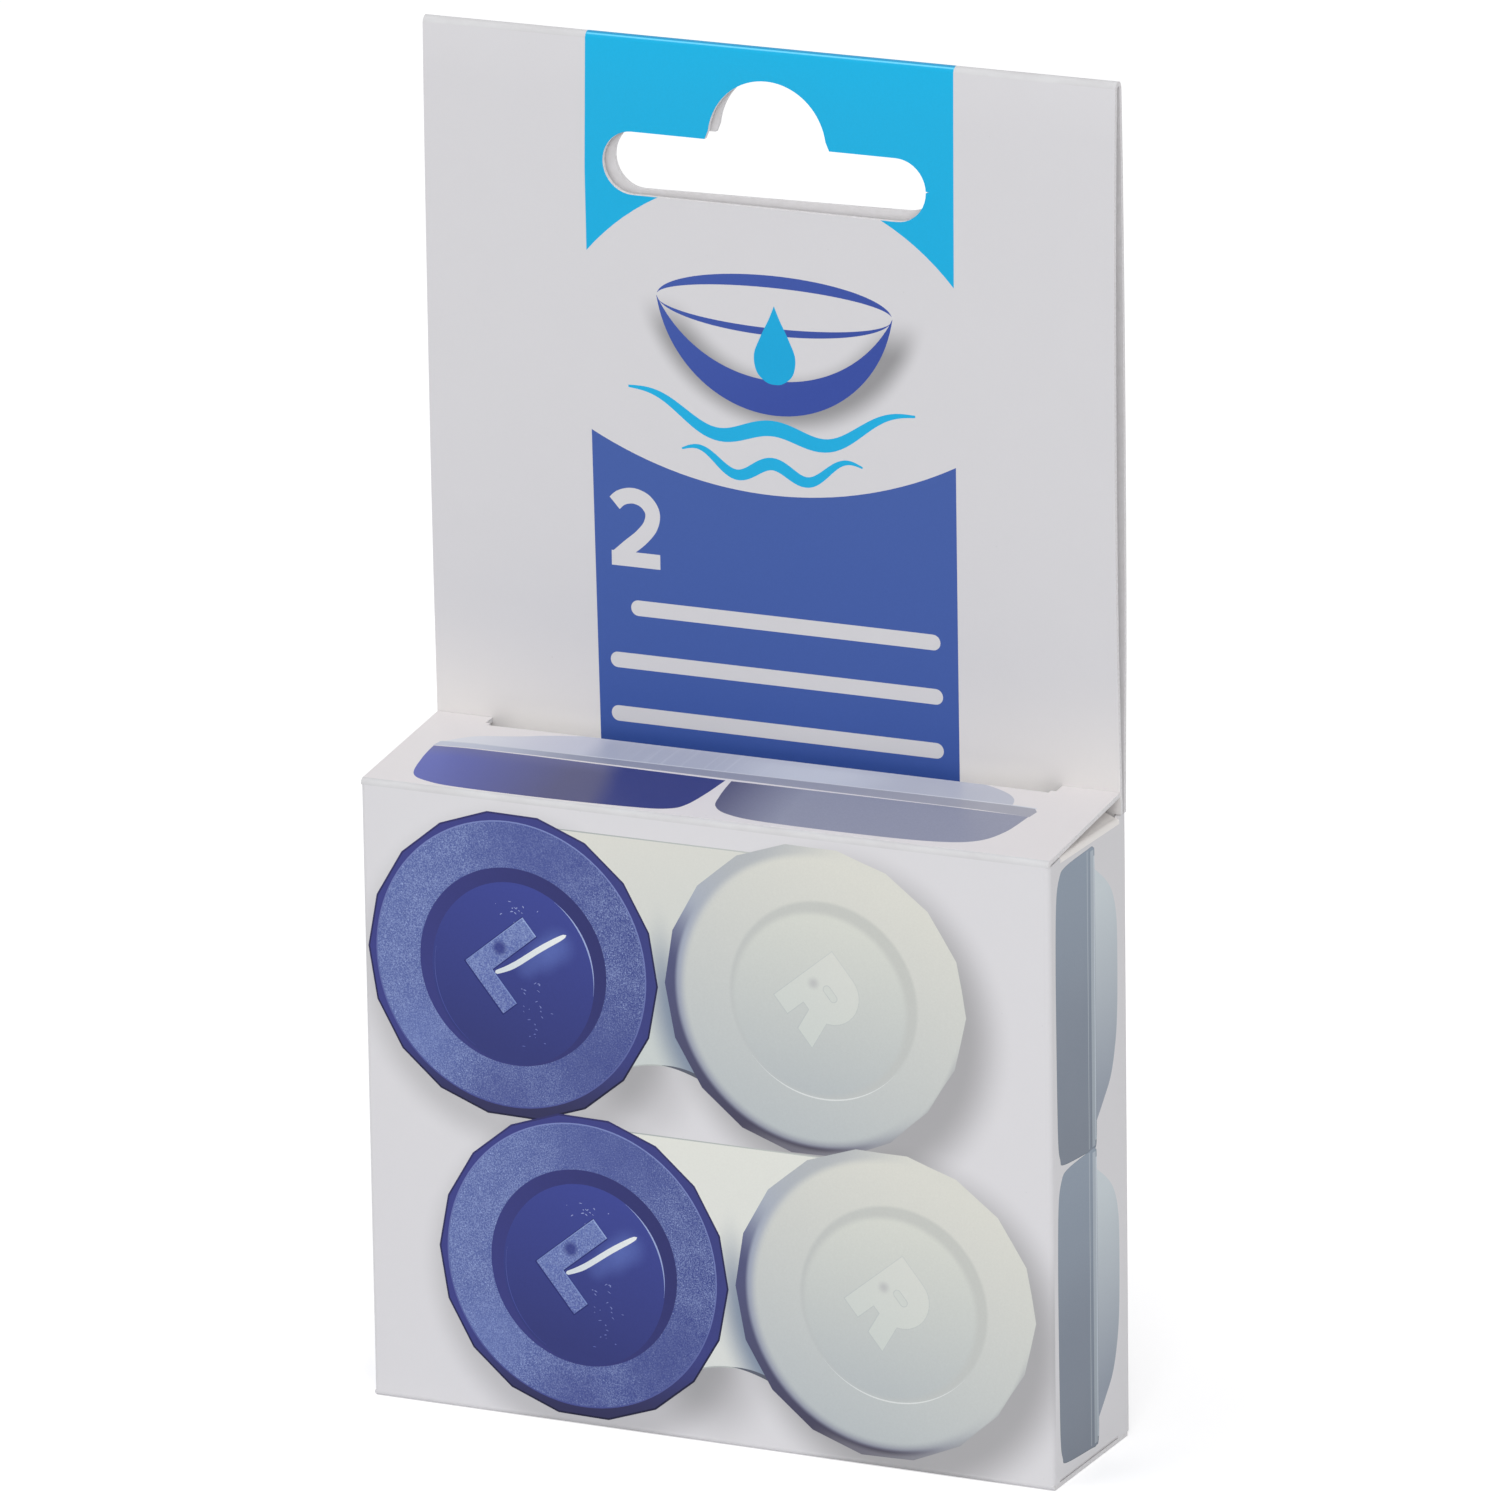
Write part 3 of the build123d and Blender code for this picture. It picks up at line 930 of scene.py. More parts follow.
def cap_plastic(name, centre, skin, paler_marks, deep, rim=13.4, dish=9.3):
    """Moulded cap plastic: a fine texture on the flat ring whose paler flecks are painted glints, and gloss
    inside the dish.
    centre is the cap's axis across the carton. rim and dish are the ring's outer and inner radii."""
    made, w, shader, body = material(name)
    x, _, z = w.parts(body)
    across = w.node("CombineXYZ", {0: w.less(x, centre[0]), 1: w.less(z, centre[1])}).outputs[0]
    inside = w.round_mask(across, (0, 0), dish - 0.15, dish + 0.15)
    ring = w.less(w.round_mask(across, (0, 0), rim - 0.1, rim + 0.1), inside, clamp=True)
    mould = w.group("Moulded skin", Vector=body, Grain=0.22, Tooth=1.2)
    sparkle = w.group("Sparkle", Vector=body, Size=0.2, Amount=0.55)["Mask"]
    marks = w.group("Handling marks", Vector=body, Amount=0.22)["Mask"]
    # The ring's paler flecks are painted glints; the handling marks in the same colour are real wear.
    colour = w.mix(w.times(ring, sparkle), w.mix(inside, skin, deep), paler_marks)
    colour = w.shaded(w.mix(marks, colour, paler_marks), mould["Shade"])
    roughness = w.plus(w.spread(inside, 0, 1, 0.42, 0.14), w.times(marks, 0.6))
    height = w.times(mould["Height"], w.spread(inside, 0, 1, 1.0, 0.15))
    surfaced(w, shader, colour, roughness, height, 0.6, 0.05)
    w.put(shader, "IOR", 1.49)
    w.put(shader, "Subsurface Weight", 0.08)
    w.put(shader, "Subsurface Scale", 1.5 * MM)
    return made


def case_plastic():
    """The case bodies: pale, slightly green moulded plastic with a satin skin."""
    made, w, shader, body = material("case_plastic")
    mould = w.group("Moulded skin", Vector=body, Grain=0.3, Tooth=0.5)
    marks = w.group("Handling marks", Vector=body, Amount=0.25)["Mask"]
    colour = w.shaded(w.mix(marks, tone(214, 220, 216), tone(232, 235, 233)), mould["Shade"])
    surfaced(w, shader, colour, w.plus(0.3, w.times(marks, 0.5)), mould["Height"], 0.4, 0.04)
    w.put(shader, "Subsurface Weight", 0.15)
    w.put(shader, "Subsurface Scale", 2.0 * MM)
    return made


# Every finish that the board pieces use, by name. First the coated boards: colour, printed
# shadows, and how much painted shade darkens a wall's top.
finishes = {}
boards = {
    "white_board": (board_white,),
    "front_board": (board_white, front_shadows()),
    # The side walls' white is a touch paler than the front's and painted darker towards the top: painted
    # light and shade on one board.
    "side_board": (tone(224, 223, 226), (), 0.925),
    # The dust flaps' board is paler than the white board: painted light in the shade under the lid.
    "flap_board": (tone(241, 237, 234),),
    "lid_board": (tone(226, 222, 223),),
    "header_print_white": (header_white,),
}
for label, row in boards.items():
    finishes[label] = white_board(label, *row)
for make in (header_board, raw_board, cut_board, creased_board):
    finishes[make.__name__] = make()

# Each ink: its colours at the start and the end of its mark, the angle that it changes towards and
# half the length that it takes, its contrast of grain, anything that changes it further, its sparkle.
inks = {
    "blue_side": ((68, 72, 127), (70, 73, 133), 165, 13, 0.1, side_deep),
    "blue_side_edge": ((44, 44, 64), (60, 60, 104), 100, 13),
    "blue_rim": ((78, 84, 142), (124, 136, 188), 75),
    "blue_ring": ((64, 72, 132), (89, 102, 158), 172, 13, 0.14, ring_glow, ((162, 178, 219), 0.13, 0.7)),
    "blue_step": ((59, 61, 108), (66, 69, 126), 200, 10),
    "blue_dish": ((61, 66, 119), (69, 77, 145), 75, 8, 0.1, dish_haze),
    "blue_letter": ((84, 95, 156), (97, 112, 169), 120, 5, 0.2, gate_mark, ((164, 180, 218), 0.15, 0.65)),
    "blue_letter_edge": ((50, 54, 104), (56, 60, 116)),
    "letter_edge_light": ((110, 128, 184), (150, 168, 212), 40, 5),
    "glint": ((196, 206, 214), (228, 232, 232), 25, 6),
    "fleck": ((100, 110, 174), (156, 166, 210), 60, 6),
    "faint_line": ((70, 78, 146), (158, 172, 214), 40, 9),
    "web": ((196, 203, 202), (215, 215, 208), 100, 12, 0.05, web_depth),
    "lower_web": ((213, 216, 213), (222, 223, 216), 100, 12, 0.05, web_depth),
    "web_line": ((166, 172, 172), (192, 196, 192), 0, 12),
    "web_shade": ((38, 40, 48), (96, 100, 112), 140, 5),
    "white_cap": ((184, 190, 192), (215, 215, 207), 70, 13, 0.07, white_cap_form),
    "white_letter": ((201, 207, 203), (212, 214, 208), 60, 5, 0.05, white_gate_mark),
    "white_letter_edge": ((184, 190, 190), (198, 202, 198), 60, 5),
    "white_floor": ((200, 205, 201), (208, 212, 206), 80, 9, 0.05),
    "white_line": ((196, 202, 204), (218, 221, 220), -70, 10),
    "side_skirt": ((113, 122, 136), (136, 149, 165), 82, 15, 0.08, skirt_cloud),
    "side_edge": ((96, 106, 120), (126, 138, 154), 90, 15),
    "side_flange": ((150, 160, 170), (168, 178, 188)),
    "side_line": ((178, 188, 198), (196, 204, 212)),
    "side_bowl": ((142, 151, 165), (198, 207, 212), 90, 9.8, 0.05),
    "blue_skirt": ((60, 64, 116), (86, 92, 150)),
    "blue_skirt_edge": ((46, 46, 84), (62, 64, 110)),
    "lid_blue": ((94, 102, 172), (91, 92, 126), 0, 7, 0.08, lid_blue_deep),
    "lid_blue_edge": ((62, 60, 116), (50, 50, 100), 0),
    "lid_grey": ((80, 80, 112), (146, 149, 167), 0, 4.6, 0.12),
    "lid_grey_edge": ((74, 76, 108), (120, 122, 144), 0),
    "lid_flange": ((140, 145, 166), (162, 163, 174), 0, 24, 0.06, flange_gleam),
    "lid_line": ((194, 198, 208), (206, 208, 216), 0, 28, 0.05),
    "lid_bowl": ((168, 173, 191), (184, 187, 199), 0, 26, 0.04, lid_streaks),
    "cyan": ((39, 170, 217), (45, 175, 221), 90, 12, 0.06),
    # Two cyan bars on the header's top fold: a painted highlight and painted shade.
    "cyan_light": ((98, 204, 243), (104, 207, 245), 0, 18, 0.06),
    "cyan_deep": ((48, 152, 199), (52, 156, 203), 0, 18, 0.06),
    "cyan_dark": ((34, 164, 213), (48, 176, 222), 90, 8, 0.06),
    "band_blue": ((69, 93, 162), (75, 98, 162), 90, 20, 0.07),
    "lens_blue": ((64, 82, 156), (76, 98, 168), 120, 12, 0.08),
}
for label, row in inks.items():
    finishes[label] = ink(f"{label}_ink", *row)


# ---------------------------------------------------------------- printed marks

# A mark is a finish, an outline and the centre from which its colours spread.


def letter_l(grow=0.0):
    """A block letter L as two bars."""
    right, top = letter_half
    stem = bar(-right, letter_stem - right, -top, top, grow)
    return [stem, bar(-right, right, -top, letter_bar - top, grow)]


def letter_r(grow=0.0):
    """A block letter R: an upright, a head and a leg."""
    right, top = letter_half
    foot = top - 2 * letter_head
    leg = [(right - 2.2 - grow, -top - grow), (right + grow, -top - grow)]
    leg += [(1.6 + grow, foot + letter_bar), (-0.6 - grow, foot + letter_bar)]
    return [
        bar(-right, letter_stem - right, -top, top, grow),
        bar(-right, right - letter_head, foot, top, grow),
        disc((right - letter_head, top - letter_head), letter_head + grow, 32),
        leg,
    ]


def letter_r_eye(grow=0.0):
    """The open middle of the letter R."""
    right, middle = letter_half[0], letter_half[1] - letter_head
    low = (letter_stem - right - grow, middle - 0.42 - grow)
    return [rounded_box(low, (right - letter_head + 0.7 + grow, middle + 0.42 + grow), 0.4 + grow)]


def letter_marks(finish, parts, place, centre):
    """A letter's parts, turned as it stands on the cap."""
    return [(finish, turned(part, letter_turn, place), centre) for part in parts]


def dish_flecks(x, z):
    """Small scratches in a blue cap's dish, in two loose swarms: middle, spread and count."""
    chance = Random(5)
    flecks = []
    for middle, spread_x, spread_z, count in (((0.2, 5.7), 2.4, 1.5, 13), ((1.7, -3.9), 1.7, 3.0, 24)):
        for _ in range(count):
            start_x = x + middle[0] + chance.gauss(0, spread_x / 2)
            start_z = z + middle[1] + chance.gauss(0, spread_z / 2)
            length, turn = chance.uniform(0.08, 0.36), radians(chance.uniform(-50, 40))
            end_x, end_z = start_x + length * cos(turn), start_z + length * sin(turn)
            half_way = ((start_x + end_x) / 2, (start_z + end_z) / 2 + 0.02)
            flecks.append(ribbon([(start_x, start_z), half_way, (end_x, end_z)], chance.uniform(0.05, 0.12)))
    return flecks


def glint_width(share):
    """The glint is thin at its start, swells, and ends round."""
    return (0.62 + 0.38 * min(share / 0.3, 1.0)) * (1 - share**10) ** 0.5 * min(share / 0.05 + 0.3, 1.0)


def blue_cap_marks(centre):
    """The print of a blue cap seen from the front."""
    x, z = centre
    dish = (x + 0.05, z - 0.75)
    along = [(x - 1.8, z - 0.85), (x + 0.1, z + 0.05), (x + 3.0, z + 2.05), (x + 5.6, z + 3.65)]
    rings = [
        ("blue_side_edge", disc(centre, 14.95, 18, -1.0)),
        ("blue_side", disc(centre, 14.76, 18, -1.0)),
        ("blue_rim", disc((x - 0.18, z + 0.1), 13.93)),
        ("blue_ring", disc((x - 0.18, z + 0.1), 13.8)),
        ("blue_step", disc((x + 0.05, z - 0.1), 9.6)),
        ("blue_dish", disc(dish, 8.35, squash=1.06)),
        ("faint_line", ribbon(arc(dish, 8.3, -8, 58, 24, 1.06), 0.16)),
        ("faint_line", ribbon(arc(dish, 8.1, 168, 240, 24, 1.06), 0.07)),
    ]
    rings += [("fleck", fleck) for fleck in dish_flecks(x, z)]
    marks = [(finish, ring, centre) for finish, ring in rings]
    marks += letter_marks("blue_letter_edge", letter_l(0.14), centre, centre)
    marks += letter_marks("letter_edge_light", letter_l(0.04), (x + 0.05, z + 0.07), centre)
    marks += letter_marks("blue_letter", letter_l(), centre, centre)
    return marks + [("glint", ribbon(smooth_through(along), 0.56, glint_width), centre)]


def white_cap_outline(centre):
    """The many-sided edge of a white cap, rounder and closer in where the light washes over it."""
    points = []
    radius = 15.2
    for step in range(36):
        angle = 0.5 + 10 * step
        reach = radius if step % 2 == 0 else radius * cos(radians(10))
        for toward, pull in ((322, 0.5), (82, 0.32), (5, -0.25)):
            reach -= pull * max(cos(radians(angle - toward)), 0) ** 6
        x, z = reach * cos(radians(angle)), reach * sin(radians(angle))
        points.append((centre[0] - 0.25 + x, centre[1] + 0.1 + z))
    return points


def white_cap_marks(centre):
    """The print of a white cap seen from the front."""
    x, z = centre
    letter = (x + 0.55, z + 0.25)
    marks = [
        ("white_cap", white_cap_outline(centre), centre),
        ("white_line", ribbon(arc((x + 0.7, z + 0.2), 9.55, 220, 318, 40), 0.14), centre),
    ]
    for finish, parts in (
        ("white_letter_edge", letter_r(0.09)),
        ("white_letter", letter_r()),
        ("white_letter_edge", letter_r_eye()),
        ("white_floor", letter_r_eye(-0.09)),
    ):
        marks += letter_marks(finish, parts, letter, centre)
    return marks


def case_marks(shift):
    """The print of one whole case, shifted from the upper one."""
    x, z = shift
    blue = (blue_cap_place[0] + x, blue_cap_place[1] + z)
    white = (white_cap_place[0] + x, white_cap_place[1] + z)
    middle, top = (x - 4.5, z + 46.5), z + 58.05
    web = [(blue[0], top), (blue[0], z + 35.0), (white[0], z + 33.0), (white[0], top)]
    # The waist is a round piece of bare board over the web's lower edge.
    waist, waist_round = (x - 4.4, z + 26.3), 10.0
    marks = [
        ("lower_web" if z else "web", web, middle),
        ("web_line", bar(blue[0], white[0], top - 0.06, top + 0.06), middle),
        ("front_board", disc(waist, waist_round), (0.0, 0.0)),
        ("web_line", ribbon(arc(waist, waist_round + 0.06, 122, 50, 20), 0.12, even_width), middle),
        ("web_shade", ribbon(arc(waist, waist_round + 0.1, 90, 50, 20), 0.36), white),
    ]
    return marks + white_cap_marks(white) + blue_cap_marks(blue)


def outlined(finish, edge, ring, centre, line=0.14):
    """A closed shape with a thin darker line round it."""
    return [(edge, ribbon(ring + ring[:1], line, even_width), centre), (finish, ring, centre)]


def side_marks(sign, skirt, edge):
    """The print on a side wall: both cases seen from their end. It is placed by its distance
    from the front."""
    marks = []
    for lift, top, low in ((0.0, 59.35, 30.9), (row_shift[1], 30.35, 2.0)):
        centre = (sign * (side_zero + 6.0), 45.0 + lift)
        start = (1.42, low + 11.0)
        skirt_ring = [start, (1.38, top - 9.0), (1.6, top - 3.2), (2.3, top - 0.95), (3.6, top - 0.22)]
        skirt_ring += [(8.4, top), (9.9, top - 0.1), (10.15, top - 1.5), (10.2, top - 10.0)]
        skirt_ring += [(10.2, low + 6.0), (10.2, low + 0.3), (9.6, low - 0.5), (8.4, low - 0.45)]
        skirt_ring += [(2.9, low), (2.05, low + 0.7), (1.6, low + 3.0), start]
        bowl = [(10.1, 1.8), (12.0, 3.6), (13.6, 5.4), (14.6, 8.0), (15.1, 11.0), (15.25, 16.0)]
        bowl += [(15.1, 20.3), (14.2, 22.9), (12.6, 24.6), (10.1, 26.3)]
        marks_here = [
            ("side_bowl", smooth_through([(y, low + z) for y, z in bowl]), centre),
            *outlined(skirt, edge, smooth_through(skirt_ring)[:-1], centre),
            ("side_flange", bar(8.5, 8.66, low - 0.3, top - 0.1), centre),
            (edge, bar(9.05, 9.17, low - 0.3, top - 0.1), centre),
            ("side_flange", bar(9.3, 10.0, low - 0.3, top - 0.3), centre),
            ("side_line", bar(10.0, 10.22, low + 0.2, top - 0.9), centre),
        ]
        for finish, ring, place in marks_here:
            ring = [(sign * (side_zero + y), z) for y, z in ring]
            marks.append((finish, ring if sign > 0 else ring[::-1], place))
    return marks


def crown_height(x, y):
    """How far the top lid stands up at a place: most in its middle and nothing at its free ends."""
    end = held((lid_half - abs(x)) / crown_edge)
    return lid_crown * sin(pi * held(y / ear_reach)) * sin(pi / 2 * end)


def lid_marks():
    """The print on the top lid: the upper case seen from above."""
    fold = 16.0
    blue = [(-31.5, 8.9), (-31.3, 6.0), (-30.5, 2.4), (-28.2, 1.15), (-24.8, 0.75), (-16.0, 0.7)]
    blue += [(-7.0, 1.1), (-3.9, 1.7), (-2.6, 3.0), (-1.7, 6.0), (-1.2, 9.0)]
    grey = [(-0.6, 9.0), (-0.3, 5.6), (0.2, 3.4), (2.0, 2.0), (6.0, 1.3), (16.0, 1.2)]
    grey += [(23.0, 1.6), (26.8, 2.8), (28.6, 5.4), (29.3, 9.0)]
    bowl = [(-31.5, 9.5), (-30.6, 10.4), (-28.4, 11.9), (-24.6, 12.9), (-20.4, 14.2), (-10.0, fold)]
    bowl += [(14.0, fold), (20.0, 15.2), (24.2, 13.9), (26.4, 12.3), (27.0, 10.0)]
    marks = [
        ("lid_bowl", smooth_through(bowl), (0.0, 12.0)),
        *outlined("lid_blue", "lid_blue_edge", smooth_through(blue), (-23.0, 5.0)),
        *outlined("lid_grey", "lid_grey_edge", smooth_through(grey), (2.6, 5.0)),
        ("lid_flange", [(-31.6, 9.0), (29.4, 9.0), (29.6, 10.2), (29.1, 10.9), (-31.3, 10.0)], (0.0, 9.0)),
        ("lid_line", [(-31.4, 9.9), (29.4, 10.8), (29.2, 11.0), (-31.2, 10.1)], (0.0, 9.0)),
    ]
    leaning = []
    for finish, ring, centre in marks:
        leaning.append((finish, [(x, y - crown_lean * crown_height(x, y)) for x, y in ring], centre))
    return leaning


def numeral_two(left, low, width, height, stroke):
    """A plain numeral 2."""
    shares = [(0.14, 0.8), (0.27, 0.88), (0.48, 0.915), (0.7, 0.86), (0.83, 0.72)]
    shares += [(0.79, 0.55), (0.62, 0.39), (0.4, 0.25), (0.19, 0.11)]
    spine = smooth_through([(left + width * x, low + height * y) for x, y in shares])
    foot = bar(left + width * 0.07, left + width * 0.96, low, low + stroke * 0.95)
    return [ribbon(spine, stroke, even_width), foot]


def ripple(middle, low, reach, width):
    """A wavy stroke on the header, which dips in its middle."""
    wave = []
    for step in range(61):
        share = step / 60
        x = middle - reach + 2 * reach * share
        wave.append((x, low + 0.8 * sin(2 * pi * 2.5 * share) + 0.016 * (x - middle) ** 2))
    return ribbon(wave, width, swelling(0.15))


def header_marks():
    """The header's print: a colour band with a lens, ripples, a numeral and plain rules."""
    left, right = -18.5, 18.7
    middle = (left + right) / 2
    top = ply_high.z + 3.0
    band_top, band_foot = (middle, 120.0), (middle, 76.0)
    cyan = [(left + 0.25, top), (left - 0.1, top - 16.0), *arc((middle, 92.5), 24.9, 138.5, 41.5, 32)]
    cyan.append((right + 0.2, top))
    blue = [(left + 0.55, 61.0), (right + 0.1, 61.0), *arc((middle, 127.6), 40.2, -62.3, -117.3, 32)]
    rim = (lens_place[0], lens_place[1] - 3.9)
    rim_reach = lens_radius * 0.95
    half_drop = [(-0.55, 2.9), (-1.5, 1.0), (-2.1, -0.6), (-1.85, -2.2), (-0.9, -3.1)]
    drop = smooth_through([(0, 4.2), *half_drop, (0, -3.3), *mirrored(half_drop), (0, 4.2)])
    marks = [
        ("cyan", cyan[::-1], band_top),
        ("band_blue", blue, band_foot),
        # On the top fold's bend: a paler cyan bar as painted highlight, then a deeper one as painted shade.
        ("cyan_light", bar(left + 0.25, right + 0.2, fold_z + 0.4, fold_z + 0.56), band_top),
        ("cyan_deep", bar(left + 0.25, right + 0.2, fold_z + 0.6, fold_z + 1.0), band_top),
        ("lens_blue", ribbon(arc(lens_place, lens_radius, 198, 342, 48), 3.3), lens_place),
        ("lens_blue", ribbon(arc(rim, rim_reach, 6, 174, 40, 0.2), 1.15), lens_place),
        ("lens_blue", ribbon(arc(rim, rim_reach, 190, 350, 40, 0.2), 0.7), lens_place),
        ("cyan_dark", turned(drop[:-1], 0.0, (lens_place[0], lens_place[1] - 8.0)), lens_place),
        ("cyan_dark", ripple(middle, 93.0, 14.6, 1.5), (middle, 93.0)),
        ("cyan_dark", ripple(middle, 89.6, 9.2, 1.2), (middle, 89.6)),
    ]
    white = numeral_two(-16.9, 79.0, 5.6, 7.5, 1.5)
    for low, start, end in ((74.3, -14.6, 17.0), (69.1, -16.8, 17.2), (63.9, -16.8, 17.2)):
        white.append(rounded_box((start, low), (end, low + 1.5), 0.74))
    return marks + [("header_print_white", part, (0.0, 0.0)) for part in white]


# ---------------------------------------------------------------- carton walls


def panel(name, node, body, *shape, slot="printed_board", **look):
    """A sheet that rides on a body and stands in for a CAD node."""
    piece = sheet(name, *shape, **look)
    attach(piece, body)
    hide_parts(node)


def wall_course():
    """Round the carton's outside, from the left wall's back edge. Zero is the front's middle."""
    quarter = pi / 2
    left_run = side_high.y - (front_y + fold_round)
    front_run = 2 * (half_width - fold_round)
    zero = -(left_run + fold_round * quarter + front_run / 2)
    course = Course((-half_width, side_high.y), -quarter, 1, zero)
    course.run(left_run).bend(fold_round, quarter)
    course.run(front_run).bend(fold_round, quarter)
    course.run(back_y - front_y - 2 * fold_round).bend(fold_round, quarter)
    return course.run(1.0)


walls = wall_course()
left_fold, right_fold, back_edge = walls.bend_spans[0][0], walls.bend_spans[1][1], walls.bend_spans[2][1]
side_zero = right_fold - fold_round
front_outline = bar(left_fold, right_fold, front_low.z, front_high.z)
front_marks = case_marks((0.0, 0.0)) + case_marks(row_shift)
front_look = {"finish": "front_board", "fold_finish": "front_board"}
front_look["sink"] = dished(front_outline, front_dish)
panel("front_wall", "front_panel", "carton", front_outline, walls, "XY", front_marks, **front_look)


def side_outline(sign):
    """A side wall. It reaches further up and down where no dust flap folds off it."""
    top, low = node_box("top_right_dust_flap"), node_box("bottom_right_dust_flap")
    rear = (back_edge - side_zero) if sign > 0 else side_high.y - front_y
    high_end, low_end = side_high.z + wall_end_rise, side_low.z - wall_end_rise - base_settle
    low_fold, top_fold = side_low.z - base_fold_drop, side_high.z + flap_lift
    low_front, low_rear = low[0].y - front_y, low[1].y - front_y
    top_front, top_rear = top[0].y + flap_cut_back - front_y, top[1].y + flap_shoulder - front_y
    profile = [(fold_round, low_end), (low_front, low_end), (low_front, low_fold), (low_rear, low_fold)]
    profile += [(low_rear, low_end), (rear, low_end), (rear, wall_top), (top_rear, wall_top)]
    profile += [(top_rear, top_fold), (top_front, top_fold), (top_front, high_end + ear_seat)]
    profile.append((fold_round, high_end))
    return [(sign * (side_zero + y), z) for y, z in profile]


for name, sign, skirt, edge in (
    ("right", 1, "side_skirt", "side_edge"),
    ("left", -1, "blue_skirt", "blue_skirt_edge"),
):
    shape = side_outline(sign), walls, "XY", side_marks(sign, skirt, edge)
    panel(f"{name}_wall", f"{name}_side_panel", "carton", *shape, finish="side_board")


def flare(x, z, reach):
    """How far a ply of the header stands away from the other near its free edges."""
    foot = lid_hinge.z + flare_foot
    height = held((z - foot) / (ply_high.z - foot))
    side = held((abs(x) - flare_side) / (half_width - flare_side))
    return -reach * side**1.5 * sin(pi * height**0.85) ** 0.6 * (1.0 if x > 0 else flare_left)


inset = -half_width + fold_round
back_outline = [(-half_width, wall_top), (inset, wall_top), (inset, back_low.z)]
back_outline += [(half_width, back_low.z), (half_width, back_high.z), (-half_width, back_high.z)]
back_course = Course((half_width, back_y), pi, 1, -half_width).run(2 * half_width)
back_slot = mirrored(hook_slot_outline(slot_slip, slot_slip_turn))
back_look = {"holes": [back_slot], "sink": lambda u, z: flare(-u, z, back_flare_reach)}
panel("back_wall", "back_panel", "carton", back_outline, back_course, "XY", **back_look)

# ---------------------------------------------------------------- header

header_thickness = back_y - ply_low.y
header_course = Course((ply_low.y, ply_low.z), pi / 2, -1, ply_low.z)
header_course.run(fold_z - ply_low.z).bend(header_thickness / 2, -pi)
header_top = fold_z + header_thickness / 2 * pi
tail_half = half_width - board - tail_play
header_half = [(tail_half, ply_low.z), (tail_half, lid_hinge.z)]
header_half += [(half_width, lid_hinge.z), (half_width, header_top)]
# The punch has left a small nick at the front slot's right end.
lobe_z = ply_high.z - slot_top_margin - slot_bump - slot_round
nick = [(slot_half - 0.3, lobe_z + 0.15), (slot_half - 0.3, lobe_z - 0.1), (slot_half + 0.35, lobe_z + 0.1)]
header_shape = both_sides(header_half), header_course, "YZ", header_marks(), [hook_slot_outline(), nick]
header_look = {"finish": "header_board", "sink": lambda x, z: flare(x, z, ply_flare_reach)}
panel("header_ply", "header_front_ply", "carton", *header_shape, **header_look)

# ---------------------------------------------------------------- closures


def lid_outline(near, far, fold):
    """A lid with two ears beside the place where its tuck flap folds down."""
    slit, root = tuck_half + slit_width, far - slit_depth
    ear = [(lid_half, near), (lid_half, far), (slit, far), (slit, root)]
    return both_sides([*ear, (tuck_half, root), (tuck_half, fold)])


def tuck_outline(length):
    """A tuck flap whose far corners are round."""
    right, end = tuck_half - tuck_corner, length - tuck_corner
    points = [(tuck_half, 0.0), (-tuck_half, 0.0)]
    points += arc((-right, end), tuck_corner, 180, 90, 10) + arc((right, end), tuck_corner, 90, 0, 10)
    return points[::-1]


def crease(name, half, course, plane, middle=0.0, finish="creased_board"):
    """The folded strip between two pieces."""
    first, last = course.legs[0][0], course.length
    if plane == "YZ":
        outline = bar(-half, half, first, last)
    else:
        outline = bar(first, last, middle - half, middle + half)
    strip = sheet(name, outline, course, plane, finish=finish, fold_finish=finish, grid=12.0)
    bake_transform(strip)


def closure(label, hinge, rise, up):
    """A lid, its tuck flap and the folds that join them to the front wall.
    up is 1 at the top of the carton and -1 at its bottom."""
    lid_node, tuck_node = f"{label}_lid", f"{label}_tuck_flap"
    tuck_low, tuck_high = node_box(tuck_node)
    heading, side = up * rise, -up
    turn, back_turn = -up * (pi / 2 - rise), -up * (pi / 2 + rise)
    wall_end = front_high.z if up > 0 else front_low.z
    into = fold_round * tan(abs(turn) / 2)
    fold = (tuck_high.y - front_y) / cos(rise) - fold_round * tan(abs(back_turn) / 2)
    far = ear_reach if up > 0 else node_box(lid_node)[1].y - front_y
    lid_course = Course((front_y, hinge.z), heading, side).run(far)
    shape, look, fold_finish = (lid_outline(into, far, fold), lid_course, "YZ"), {}, "front_board"
    if up > 0:
        look = {"marks": lid_marks(), "finish": "lid_board", "sink": lambda x, y: -crown_height(x, y)}
        fold_finish = "creased_board"
    panel(f"{label}_lid_board", lid_node, lid_node, *shape, **look)

    front_fold = Course((front_y, wall_end), up * pi / 2, side)
    front_fold.run(abs(hinge.z - up * into - wall_end)).bend(fold_round, turn)
    start, end = Vector((0, front_y, wall_end)), Vector((0, *lid_course.at(into, 0.0)))
    crease(f"{label}_front_fold", lid_half, front_fold, "YZ", finish=fold_finish)

    tuck_fold = Course(lid_course.at(fold, 0.0), heading, side).bend(fold_round, back_turn)
    start, end = Vector((0, *lid_course.at(fold, 0.0))), Vector((0, *tuck_fold.place))
    crease(f"{label}_tuck_fold", tuck_half, tuck_fold, "YZ")
    length = abs((tuck_low.z if up > 0 else tuck_high.z) - tuck_fold.place[1])
    tuck_course = Course(tuck_fold.place, -up * pi / 2, side).run(length)
    panel(f"{label}_tuck_board", tuck_node, tuck_node, tuck_outline(length), tuck_course, "YZ")
    for name, sign in (("left", -1), ("right", 1)):
        dust_flap(label, name, sign, up)


